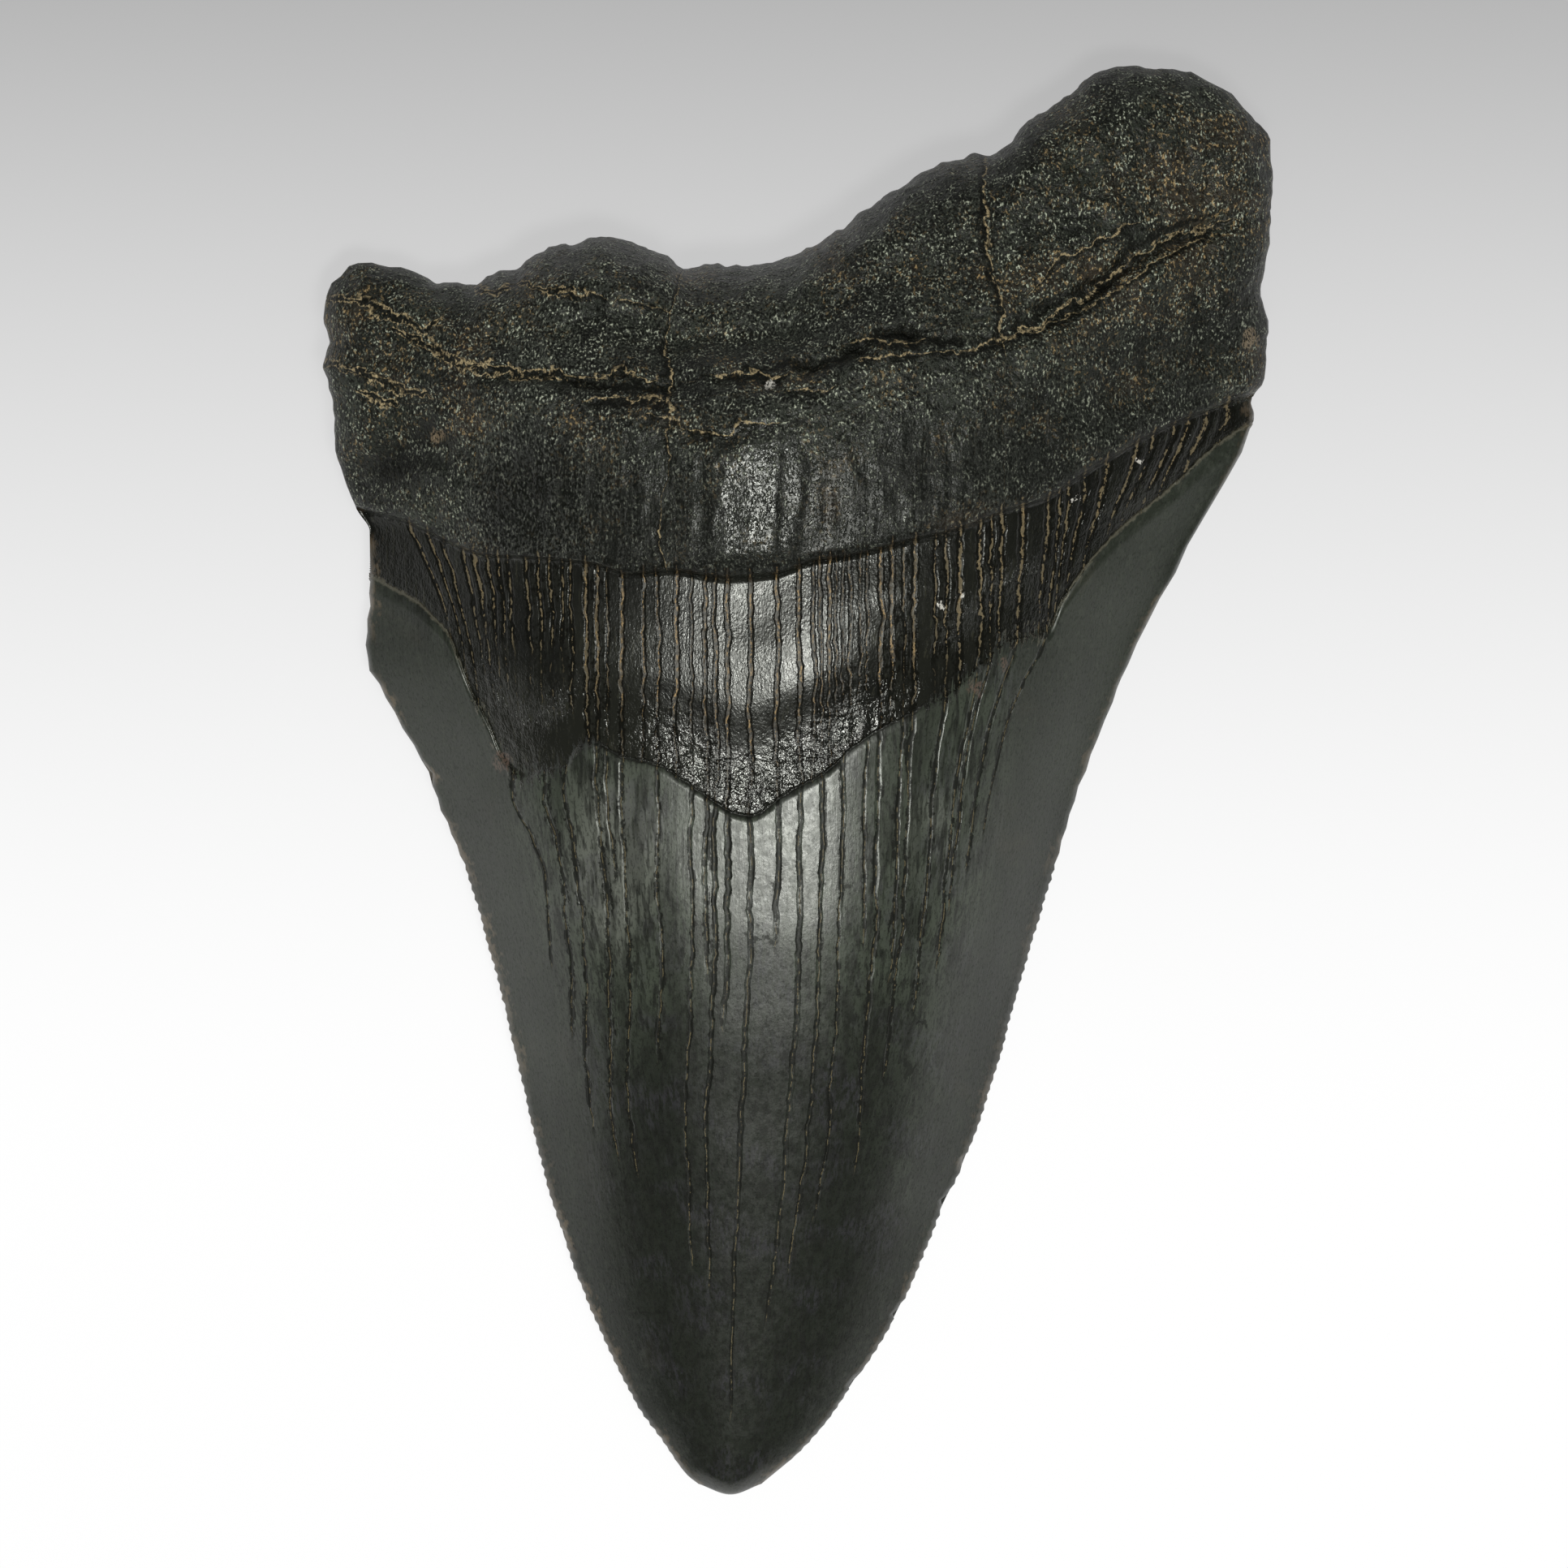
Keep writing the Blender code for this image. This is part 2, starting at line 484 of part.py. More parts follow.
def set_size_and_place(mesh):
    """Gives the tooth its size, centred over the origin with its resting flats on z = 0."""
    spans = [(min(v.co[k] for v in mesh.verts), max(v.co[k] for v in mesh.verts)) for k in range(3)]
    (x0, x1), (y0, y1), (z0, z1) = spans
    bmesh.ops.translate(mesh, verts=mesh.verts, vec=(-(x0 + x1) / 2.0, -(y0 + y1) / 2.0, -z0))
    sizes = (TOOTH_WIDTH / (x1 - x0), TOOTH_LENGTH / (y1 - y0), TOOTH_THICKNESS / (z1 - z0))
    bmesh.ops.scale(mesh, vec=sizes, verts=mesh.verts)


def tooth_material():
    material = bpy.data.materials.new("dark grey fossil tooth")
    material.use_nodes = True
    shader = material.node_tree.nodes["Principled BSDF"]
    shader.inputs["Base Color"].default_value = (0.046, 0.048, 0.042, 1.0)
    shader.inputs["Roughness"].default_value = 0.38
    shader.inputs["Metallic"].default_value = 0.0
    return material


def build_tooth(collection):
    mesh = bmesh.new()
    rim = build_lingual(mesh)
    inner_rim = build_labial(mesh)
    bmesh.ops.bridge_loops(mesh, edges=rim + inner_rim)
    bmesh.ops.triangulate(mesh, faces=mesh.faces, quad_method="SHORT_EDGE", ngon_method="BEAUTY")
    bmesh.ops.recalc_face_normals(mesh, faces=mesh.faces)
    set_size_and_place(mesh)
    bmesh.ops.scale(mesh, vec=(0.001, 0.001, 0.001), verts=mesh.verts)
    data = bpy.data.meshes.new("tooth")
    mesh.to_mesh(data)
    mesh.free()
    data.shade_smooth()
    tooth = bpy.data.objects.new("tooth", data)
    tooth.data.materials.append(tooth_material())
    collection.objects.link(tooth)
    return tooth


def clear_scene():
    for old in list(bpy.data.objects):
        bpy.data.objects.remove(old, do_unlink=True)


def main():
    clear_scene()
    collection = bpy.data.collections.new("megalodon_tooth")
    bpy.context.scene.collection.children.link(collection)
    build_tooth(collection)


main()
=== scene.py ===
"""Looks of a fossil megalodon tooth: dark grainy root, cracked glossy band, grey enamel crown.

The tooth is one closed piece, lofted through the same section lines as its solid, with every
crack of the band, the serrations, the root's furrow, pits and grain modelled in the mesh.
Lengths are millimetres until the mesh is written, which is in metres with +Z up.
"""

import math
import random

import bmesh
import bpy
import numpy as np
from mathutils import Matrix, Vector, noise


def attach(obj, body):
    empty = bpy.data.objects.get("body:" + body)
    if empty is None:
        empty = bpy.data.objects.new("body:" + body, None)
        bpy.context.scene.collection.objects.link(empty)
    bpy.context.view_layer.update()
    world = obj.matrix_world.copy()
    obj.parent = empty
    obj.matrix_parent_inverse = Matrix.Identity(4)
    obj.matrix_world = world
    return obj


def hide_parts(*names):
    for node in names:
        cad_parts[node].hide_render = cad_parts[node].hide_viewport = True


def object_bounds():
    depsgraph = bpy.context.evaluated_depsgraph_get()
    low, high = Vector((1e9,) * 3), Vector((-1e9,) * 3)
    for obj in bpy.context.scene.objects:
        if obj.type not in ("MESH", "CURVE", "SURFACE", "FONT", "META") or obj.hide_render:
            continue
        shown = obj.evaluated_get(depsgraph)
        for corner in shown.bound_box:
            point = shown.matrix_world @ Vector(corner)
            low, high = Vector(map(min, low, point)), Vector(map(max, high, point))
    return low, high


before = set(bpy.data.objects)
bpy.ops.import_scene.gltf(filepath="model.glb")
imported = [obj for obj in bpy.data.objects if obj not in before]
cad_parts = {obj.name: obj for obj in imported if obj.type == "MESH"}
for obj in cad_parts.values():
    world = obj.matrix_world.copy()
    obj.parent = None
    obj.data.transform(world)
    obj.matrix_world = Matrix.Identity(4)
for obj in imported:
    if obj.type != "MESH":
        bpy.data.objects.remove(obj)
solid_low, solid_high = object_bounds()

# ---- the tooth's size, from the solid in model.glb
TOOTH_WIDTH, TOOTH_LENGTH, TOOTH_THICKNESS = ((solid_high - solid_low) * 1000.0)[:]

# ---- places and sizes on the tooth, millimetres
MIDDLE_LINE = -3.3          # x of the tooth's middle line through the root and upper crown
TIP_X = -5.7                # the crown leans, so the tip stands left of the middle line
STRAIGHT_HALF = 26.2        # half of the width over which cracks run straight up the tooth
EDGE_BEVEL = 0.5            # how far the cutting edge is rounded in from the outline
ROOT_ROUNDING = 5.6         # the same on the flanks of the root
LABIAL_BEVEL = 1.0
LABIAL_ROOT_ROUNDING = 3.6
LIP_STEP = 0.3              # the enamel stands this far above the band
BAND_FOLD = 0.7             # how far the band climbs at the fold along its lower half
BAND_DIP = 0.1              # how much of that it first dips above the lip
BAND_SINKS_FROM = 0.3       # the share of the way from the fold to the ledge where it sinks again
BAND_SWELLING = (1.5, 9.5)  # the middle of a soft swelling on the band
BAND_SWELLING_SIZE = (8.0, 7.0)
BAND_SWELLING_RISE = 0.45
LEDGE_STEP = 1.8            # the root stands this far above the band's end
SERRATION_DEPTH = 0.08
CRACK_DEPTH = 0.14
CROWN_CRACK_DEPTH = 0.08
CRACK_WANDER = 0.32         # how far a crack strays to either side of its line
CRACK_LEAN = 11.0           # sets how far the outer cracks lean in towards the lip
SERRATION_REACH = 1.6       # how far in from the edge a serration is felt
NICK_HALF_LENGTH = 0.55
LABIAL_INSET = 0.3          # the share of a step by which the labial grid stays inside the outline
TIP_Y = -60.0
TOP_Y = 43.3                # where the middle line meets the root's top edge
BAND_HALVES = (32.7, 38.0)  # the band's reach to the left and right, over which its cracks stand
# where things start and end on the way up the tooth
BAND_STARTS = (-2.9, -2.3)
BAND_ENDS = (16.4, 17.0)
CRACKS_STRAIGHTEN = (17.5, 22.0)
SERRATIONS_START = (-58.5, -55.0)
ROOT_RELIEF_STARTS = (17.4, 19.0)

# ---- what each vertex is marked with, for the finish to read
VEIN_MARKS = ("vein_1", "vein_2", "vein_3", "vein_4")
ROOT_CRACK_MARKS = ("root_crack_1", "root_crack_2")
MARKS = (
    "above_lip", "above_ledge", "crack_share", "crack", "off_crack", "from_edge", "wing", "boss",
    "hollow", "blot", "tone", "stain", "plate", *VEIN_MARKS, "shaded_fold_line", *ROOT_CRACK_MARKS,
)

# ---- how finely the two faces are divided
FLANK_COLUMNS = 7
LABIAL_COLUMNS = 46
LABIAL_FLANK = 3

# ---- outline: the left and right edges as (y, x) from the tip up
LEFT_EDGE = (
    (-59.1, -8.4), (-58.4, -9.3), (-56.4, -10.8), (-52.3, -13.6), (-46.8, -16.4), (-40.7, -18.9),
    (-33.2, -21.3), (-23.7, -23.6), (-15.5, -25.6), (-7.3, -28.0), (-1.9, -30.2),
    (1.1, -31.3), (4.9, -33.5), (7.7, -35.0), (10.0, -36.2), (11.8, -36.3),
    (15.5, -36.0), (21.0, -36.0), (22.7, -37.0), (25.4, -38.1), (28.4, -38.9),
    (32.2, -39.0), (34.9, -39.8), (36.6, -39.5), (39.1, -39.8), (41.7, -39.0),
)
RIGHT_EDGE = (
    (-59.1, -3.1), (-56.4, 0.1), (-53.7, 2.5), (-49.6, 5.3), (-46.8, 7.2),
    (-41.4, 9.9), (-35.9, 12.1), (-31.9, 14.0), (-25.0, 16.4), (-18.2, 18.3),
    (-11.4, 20.3), (-6.0, 21.9), (-0.5, 23.6), (4.9, 25.7), (9.0, 27.4),
    (13.1, 29.2), (17.2, 31.5), (21.3, 33.5), (24.0, 35.2), (26.7, 36.7),
    (29.5, 38.0), (30.8, 38.3), (31.9, 38.0), (33.6, 39.1), (35.6, 39.3),
    (37.6, 39.5), (40.4, 38.9), (45.8, 39.5), (51.3, 39.8), (53.9, 39.5),
    (55.2, 38.7),
)
# the root's top edge as (x, y), from the left lobe to the right lobe
ROOT_TOP = (
    (-39.0, 41.7), (-37.9, 43.1), (-36.7, 43.4), (-33.6, 43.2), (-31.6, 42.4),
    (-29.5, 41.8), (-27.3, 41.6), (-26.1, 42.4), (-23.4, 43.0), (-22.6, 43.9),
    (-19.3, 45.1), (-16.2, 45.5), (-14.2, 45.2), (-11.1, 44.1), (-9.1, 43.0),
    (-6.7, 43.3), (-4.0, 43.2), (-1.9, 43.6), (1.2, 44.9), (5.2, 47.6),
    (9.3, 50.5), (11.4, 51.5), (13.4, 52.2), (16.7, 52.8), (19.6, 55.6),
    (21.6, 56.7), (23.6, 58.5), (25.7, 59.7), (28.8, 60.0), (31.8, 59.7),
    (34.9, 58.6), (36.9, 57.1), (38.7, 55.2),
)
# nicks in the cutting edge as (y, depth), on the left and on the right
LEFT_NICKS = ((0.9, 0.35), (-19.0, 0.15), (-38.0, 0.2))
RIGHT_NICKS = ((-31.9, 0.3), (-35.2, 0.35), (-44.6, 0.3), (-50.4, 0.35), (9.6, 0.15))
# each cutting edge: its nicks, the y where its serrations fade out, and its wear's noise layer
CUTTING_EDGES = ((LEFT_NICKS, (17.0, 19.0), 50.0), (RIGHT_NICKS, (30.0, 31.0), 70.0))

# ---- lines on the lingual face as (x, y), from the left edge to the right edge
ENAMEL_LIP = (
    (-36.0, 17.2), (-34.6, 17.0), (-32.1, 15.2), (-29.5, 12.7), (-27.5, 7.9),
    (-25.9, 4.8), (-24.8, 2.2), (-22.7, 0.4), (-21.3, 1.1), (-19.2, 1.5),
    (-18.4, 3.0), (-17.1, 3.3), (-14.8, 2.1), (-11.7, 1.4), (-9.1, -0.2),
    (-5.1, -2.7), (-4.1, -2.9), (-1.0, -1.0), (2.7, 1.1), (4.3, 2.7),
    (7.4, 4.7), (10.3, 6.1), (13.6, 8.2), (15.3, 10.0), (17.7, 11.9),
    (21.0, 12.8), (22.1, 15.2), (26.0, 20.2), (31.4, 24.8), (35.2, 28.3),
    (38.2, 30.2),
)
ROOT_LEDGE = (
    (-37.0, 22.8), (-33.0, 21.6), (-29.0, 19.7), (-26.0, 18.6), (-22.2, 18.4),
    (-16.8, 17.8), (-14.2, 17.0), (-10.6, 17.3), (-6.1, 16.7), (-2.0, 17.0),
    (1.2, 18.1), (4.6, 18.6), (8.0, 19.5), (13.4, 20.8), (17.5, 22.4),
    (20.2, 23.2), (23.2, 25.0), (26.4, 27.0), (29.7, 28.9), (33.0, 30.4),
    (36.3, 31.6), (38.1, 32.3),
)
ROOT_FURROW = (
    (-39.5, 35.6), (-33.4, 34.9), (-26.3, 33.6), (-19.2, 33.2), (-11.4, 32.6),
    (-7.7, 33.2), (-2.4, 33.2), (2.2, 34.6), (7.4, 36.4), (13.4, 36.8),
    (16.8, 37.3), (21.7, 39.0), (24.7, 41.2), (27.8, 43.0), (30.9, 44.8),
    (33.9, 46.2), (39.6, 48.0),
)
ROOT_BELLY = ((-39.1, 31.0), (-25.0, 28.2), (-4.0, 27.8), (12.0, 30.0), (25.0, 34.0), (39.4, 40.4))
ROOT_SHOULDER = (
    (-39.6, 38.4), (-34.0, 38.6), (-29.0, 37.0), (-20.0, 39.4), (-16.0, 39.8), (-9.0, 37.4),
    (-2.0, 37.8), (6.0, 42.4), (15.0, 47.0), (22.0, 50.6), (29.0, 53.6), (35.0, 52.8), (39.75, 50.6),
)
LABIAL_BORDER = ((-36.0, 19.4), (-20.0, 19.6), (-4.0, 21.0), (14.0, 24.4), (38.1, 31.6))
# inner limits of the smooth wings as (y, x)
LEFT_WING = (
    (TIP_Y, -7.5), (-48.0, -12.6), (-36.6, -16.6), (-23.0, -19.3),
    (-5.3, -23.4), (4.3, -26.1), (17.0, -34.0),
)
RIGHT_WING = (
    (TIP_Y, -4.0), (-48.0, 4.2), (-33.2, 10.7), (-19.6, 14.1),
    (-2.6, 16.8), (11.1, 18.9), (30.0, 36.0),
)
# mineral veins across the root as (x, y, strength): each runs from lobe to lobe with gaps
VEINS = (
    (
        (-39.3, 40.7, 1.0), (-36.3, 40.4, 1.0), (-34.8, 39.4, 1.0), (-33.2, 39.1, 1.0), (-31.0, 38.2, 0.8),
        (-29.4, 39.0, 0.0), (-27.2, 41.5, 0.0), (-26.9, 41.5, 0.8), (-25.6, 41.1, 0.7), (-23.0, 41.7, 0.4),
        (-20.6, 41.0, 0.7), (-17.8, 40.7, 0.9), (-15.6, 40.2, 0.0), (-14.3, 40.0, 0.5), (-11.9, 39.4, 0.5),
        (-10.0, 38.6, 0.0), (4.2, 36.1, 0.0), (4.5, 36.2, 0.6), (5.8, 36.8, 0.6), (6.9, 36.5, 0.7),
        (9.5, 36.3, 0.8), (11.0, 36.9, 0.0), (18.9, 40.1, 0.0), (21.7, 43.4, 0.7), (24.5, 44.7, 0.7),
        (27.3, 46.2, 0.8), (29.0, 46.9, 0.0), (39.6, 50.0, 0.0),
    ),
    (
        (-39.4, 38.6, 0.0), (-34.4, 38.0, 0.0), (-33.5, 37.7, 0.8), (-31.0, 37.0, 1.0), (-29.3, 35.6, 1.0),
        (-26.7, 34.9, 1.0), (-24.5, 34.4, 0.9), (-23.2, 34.0, 0.8), (-21.3, 34.4, 1.0), (-18.9, 33.8, 1.0),
        (-16.3, 33.6, 1.0), (-15.2, 34.2, 0.9), (-13.0, 33.6, 1.0), (-12.5, 33.1, 0.6), (-11.5, 33.1, 0.0),
        (-7.2, 33.6, 0.0), (-6.9, 33.7, 0.9), (-4.1, 33.7, 0.9), (-3.4, 33.8, 0.8), (-2.0, 33.4, 0.8),
        (-1.3, 33.5, 0.6), (0.0, 33.9, 0.0), (4.6, 35.0, 0.0), (4.9, 35.1, 0.6), (7.0, 35.2, 0.7),
        (9.6, 35.5, 0.7), (12.3, 35.5, 0.6), (14.7, 36.1, 0.8), (18.1, 37.3, 0.9), (20.7, 38.6, 1.0),
        (23.0, 39.9, 1.0), (25.2, 41.4, 1.0), (27.3, 43.1, 1.0), (29.1, 44.4, 1.0), (31.6, 45.7, 1.0),
        (33.8, 45.9, 0.8), (35.3, 46.8, 0.5), (37.0, 47.2, 0.0), (39.6, 47.6, 0.0),
    ),
    (
        (-39.2, 35.4, 0.7), (-37.3, 34.5, 0.9), (-35.4, 34.0, 1.0), (-33.5, 33.3, 0.9), (-31.5, 32.4, 0.7),
        (-30.4, 32.0, 0.0), (-17.9, 31.5, 0.0), (-17.4, 31.6, 0.8), (-15.8, 31.9, 0.9), (-14.1, 31.9, 0.8),
        (-11.7, 31.7, 0.9), (-10.8, 31.6, 0.0), (-1.3, 32.3, 0.0), (-1.0, 32.3, 0.6), (0.6, 32.4, 0.6),
        (2.3, 32.4, 0.6), (3.2, 32.8, 0.0), (17.0, 36.6, 0.0), (17.6, 36.9, 0.5), (23.3, 39.1, 0.6),
        (25.4, 40.1, 0.6), (27.3, 41.4, 0.6), (30.8, 44.0, 0.5), (33.3, 45.1, 0.4), (34.6, 45.4, 0.0),
        (39.6, 46.0, 0.0),
    ),
    (
        (-39.4, 33.4, 0.0), (-37.2, 32.8, 0.0), (-36.7, 32.7, 0.6), (-34.8, 32.1, 0.8), (-33.5, 31.9, 0.7),
        (-32.4, 31.6, 0.0), (-12.8, 30.2, 0.0), (-12.3, 30.2, 0.7), (-9.9, 30.1, 0.7), (-9.6, 29.4, 0.0),
        (-9.2, 28.9, 0.9), (-7.2, 28.9, 1.0), (-5.9, 28.9, 1.0), (-4.1, 29.6, 0.9), (-2.5, 29.7, 0.7),
        (-1.5, 29.8, 0.0), (39.6, 40.0, 0.0),
    ),
)
# the fold under the veins, a groove with painted shade along it, written the same way
DARK_FOLD = (
    (-39.5, 36.4, 0.0), (-24.0, 34.0, 0.0), (-17.0, 32.9, 0.7), (-14.0, 32.6, 0.9), (-11.5, 32.5, 0.7),
    (-9.0, 33.2, 0.15), (-3.0, 34.2, 0.5), (0.0, 34.5, 1.0), (3.0, 34.7, 1.0), (5.0, 36.0, 0.8),
    (7.0, 37.2, 1.2), (9.5, 37.2, 1.2), (12.0, 36.4, 0.5), (14.6, 36.4, 0.6), (18.9, 38.1, 1.0),
    (21.9, 40.4, 1.1), (24.5, 41.4, 1.1), (26.9, 43.4, 1.2), (28.2, 44.6, 1.1), (30.1, 45.9, 0.8),
    (32.0, 46.4, 0.4), (34.0, 47.0, 0.0), (39.6, 48.4, 0.0),
)
# two cracks up the root as (y, x, strength)
ROOT_CRACKS = (
    (
        (17.5, -10.9, 0.1), (20.4, -11.6, 0.5), (22.4, -11.4, 0.1), (26.5, -10.7, 0.1), (28.2, -11.0, 0.6),
        (29.9, -10.4, 0.9), (32.1, -10.6, 1.0), (34.7, -10.7, 0.7), (35.8, -11.0, 0.8), (38.0, -10.8, 0.3),
        (43.0, -9.5, 0.2),
    ),
    (
        (35.0, 17.1, 0.0), (37.1, 17.0, 0.7), (40.1, 16.8, 0.6), (41.9, 16.2, 0.7), (44.4, 15.9, 1.0),
        (46.8, 15.9, 1.0), (48.7, 15.5, 0.6), (51.3, 15.6, 0.5), (54.0, 15.8, 0.4),
    ),
)

# ---- cracks of the band, as distances from the middle line, and the boldest of them
BAND_CRACKS = (
    -29.3, -27.8, -26.4, -24.7, -23.7, -22.6, -21.7, -20.9, -19.4, -18.4, -17.4, -16.4,
    -15.7, -14.4, -13.5, -12.6, -11.4, -9.6, -8.4, -6.9, -5.6, -4.4, -3.6, -2.6, -0.7,
    1.5, 3.4, 4.6, 5.2, 5.9, 6.4, 7.0, 7.6, 8.4, 9.0, 10.1, 11.0, 12.0, 12.8, 14.5, 15.4,
    16.4, 18.1, 19.0, 19.8, 21.4, 23.4, 24.3, 25.0, 26.2, 27.9, 30.1, 31.4, 33.0, 34.1,
    35.5, 37.0,
)
BOLD_CRACKS = (
    -23.7, -14.4, -13.5, -11.4, -6.9, -2.6, -0.7, 1.5, 3.4, 5.9, 10.1, 11.0, 12.8, 16.4, 18.1,
    21.4, 27.9,
)
# those that run on down the crown, with the y at which they fade out
CROWN_CRACKS = {
    -21.7: -16.0, -18.4: -22.0, -16.4: -30.0, -13.5: -32.0, -12.6: -9.0, -11.4: -34.0,
    -8.4: -24.0, -5.6: -41.0, -4.4: -17.0, -3.6: -43.0, -2.6: -21.0, -0.7: -54.0, 1.5: -15.0,
    3.4: -46.0, 5.2: -41.0, 7.0: -37.0, 9.0: -15.0, 10.1: -33.0, 12.0: -17.0, 12.8: -26.0,
    15.4: -20.0, 18.1: -16.0, 19.0: -11.0, 21.4: -8.0, 24.3: -5.0,
}
# dark blots on the crown as (x, y, half width, strength)
BLOTS = (
    (-1.8, -8.7, 0.5, 1.0), (0.0, -7.3, 0.4, 1.0), (-3.6, -13.2, 1.3, 0.5), (-1.9, -13.0, 0.7, 0.55),
    (-3.0, -29.2, 0.6, 0.9), (-2.9, -33.9, 0.7, 0.9), (-0.5, -39.7, 0.5, 1.0), (-5.3, -42.2, 1.0, 0.8),
    (-5.6, -47.4, 0.8, 0.7), (-16.6, -1.4, 0.8, 0.8), (-16.4, -15.8, 0.5, 0.8), (-14.1, -15.6, 0.7, 0.8),
    (3.9, -9.0, 0.7, 0.7), (9.0, -10.2, 0.9, 0.6), (9.2, -24.0, 0.8, 0.8), (-9.2, -26.5, 0.8, 0.7),
    (-1.0, -23.0, 0.5, 0.9), (10.4, -20.0, 0.8, 0.6), (-12.0, -34.0, 0.6, 0.7), (4.9, -30.4, 0.6, 0.8),
)

# small pale specks, which are painted glints, and pinkish specks as (x, y, size)
GLINT_SPECKS = (
    (-2.4, 32.8, 0.42), (13.4, 15.5, 0.3), (11.9, 14.5, 0.26), (23.2, 23.5, 0.26), (28.6, 26.7, 0.26),
)
PINK_SPECKS = ((14.8, 7.8, 0.8), (17.2, 9.7, 0.6), (-24.7, 1.7, 0.9))
TAN_SPECKS = ((-30.0, 28.8, 0.8), (37.8, 37.0, 0.9))
# a faint crack across the left wing: its ends and its y
WING_CRACK = (-16.9, -10.4, -44.6)
# spots where the face is lighter or darker, and where it is stained browner: the change, then
# the middle and the half sizes
# the last tone spot is painted shade, darkening the right wing's colour against the overhead lamp on that
# side
TONE_SPOTS = (
    (2.0, (-15.5, -7.0), (6.0, 11.0)), (1.1, (11.5, -5.0), (6.0, 12.0)), (-0.8, (18.0, -20.0), (5.0, 20.0)),
)
TIP_DARKENS = (1.9, (-4.5, -36.0), (14.0, 34.0))
STAIN_SPOTS = (
    (0.5, (33.0, 49.0), (9.0, 9.0)), (0.45, (-36.0, 37.0), (7.0, 8.0)), (0.3, (24.0, 42.0), (9.0, 6.0)),
)

# ---- places on the root: x and y, then a spot's half width and its depth or height
BOSS = (-4.6, 23.4)
BOSS_SIZE = (4.5, 6.6)
GLOSSY_BOSS_SIZE = (5.0, 7.4)
BOSS_RISE = 0.5
BOSS_FOOT = (17.2, 18.4, 21.4)  # y where its foot starts, stands highest and ends
BOSS_FOOT_RISE = 0.5
FURROWS_BY_BOSS = (-7.9, -1.3)
FURROW_BY_BOSS_SIZE = (0.5, 6.0)
FURROW_BY_BOSS_DEPTH = 0.14
FURROW_DEPTH = 0.35
FURROW_EXTRA_DEPTH = 0.75   # on the way up to the right lobe
FURROW_HALF_WIDTH = 1.1
NUTRIENT_PITS = (
    (8.8, 37.0, 1.3, 0.8), (4.4, 35.8, 1.2, 0.7), (-2.4, 32.9, 0.9, 0.6), (-30.0, 28.7, 1.1, 0.8),
)
LEFT_HOLLOW = (-33.8, 26.2, 3.2, 0.9)
TOP_KNOLL = (-17.0, 42.4, 4.4, 0.8)
LOBE_PADS = ((-22.0, 31.0, 8.5, 2.6), (23.0, 38.5, 9.0, 2.9))

# ---- the paper floor and its painted glow: they grey between two y, in millimetres, but only down to their least grey, as painted falloff of light
FLOOR_HALF_SIZE = 1.2       # metres
FLOOR_GLOW = 0.87
FLOOR_GREYS_BETWEEN = (-32.0, 150.0)
FLOOR_FAR_GREY = 0.06
FLOOR_LEAST_GREY = 0.45

# ---- lights, in metres and watts; the overhead softbox is nested layers, brightest in its middle
LIGHTS_FACE = (0.0, 0.0, 0.01)
OVERHEAD_PLACE = (0.075, -0.15, 0.9)
OVERHEAD_LAYERS = (((0.14, 0.1), 4.2), ((0.3, 0.15), 1.8), ((0.56, 0.22), 1.3))
WIDE_PLACE = (0.05, -0.1, 1.1)
WIDE_SIZE = (1.1, 0.9)
WIDE_POWER = 0.8
STUDIO_GLOW = 0.17

# ---- camera, in millimetres
CAMERA_AIM = Vector((-1.16, -0.24, 5.0))
PICTURE_WIDTH = 131.65      # of floor, across the picture
LENS_LENGTH = 400.0
SENSOR_WIDTH = 36.0


def tip_line(end_y, middle_y):
    """A section around the worn tip."""
    return ((-8.4, end_y), (TIP_X, middle_y), (-3.1, end_y))


def level_line(end_y, middle_y, middle_x=MIDDLE_LINE):
    """A crown section that sags a little towards the tip."""
    return ((middle_x - 20.0, end_y), (middle_x, middle_y), (middle_x + 20.0, end_y))


def shifted(line, rise):
    """The same line, further up."""
    return tuple((x, y + rise) for x, y in line)


def between(low, high, share):
    """A line part of the way from one line to another, at the lower one's stations."""
    high_x = [point[0] for point in high]
    high_y = [point[1] for point in high]
    return tuple(
        (x, y + share * (float(np.interp(x, high_x, high_y)) - y)) for x, y in low
    )


# ---- sections of the lingual face from the tip up. Those of the crown and band have their
# line and the rows up to the next section, and the crown's dome below gives their height.
# Those of the root also have the surface's height at the left, in the middle and at the
# right, and how steeply that falls to the sides.
LINGUAL_SECTIONS = (
    (tip_line(-59.1, -60.0), 6),
    (tip_line(-57.7, -58.7), 21),
    (level_line(-49.0, -50.6, -5.2), 50),
    (level_line(-28.0, -31.0, -4.2), 50),
    (level_line(-7.0, -11.5), 22),
    (shifted(ENAMEL_LIP, -0.3), 2),
    (ENAMEL_LIP, 10),
    (between(ENAMEL_LIP, ROOT_LEDGE, 0.18), 17),
    (between(ENAMEL_LIP, ROOT_LEDGE, 0.5), 24),
    (ROOT_LEDGE, 7.0, 23.2, 6.6, 1.1, 3),
    (shifted(ROOT_LEDGE, 0.4), 7.8, 23.9, 7.2, 1.1, 14),
    (ROOT_BELLY, 11.4, 24.9, 11.4, 1.0, 14),
    (shifted(ROOT_FURROW, -1.1), 12.0, 23.8, 12.4, 0.95, 4),
    (ROOT_FURROW, 12.0, 23.1, 12.4, 0.95, 4),
    (shifted(ROOT_FURROW, 1.1), 12.0, 22.2, 12.4, 0.95, 12),
    (ROOT_SHOULDER, 11.6, 18.6, 12.2, 0.9, 10),
    (ROOT_TOP, 11.4, 18.2, 12.0, 0.9, 0),
)
LIP_TO_LEDGE = slice(5, 10)     # the sections that bound the band, from under the lip
LEDGE_TO_BELLY = slice(9, 12)
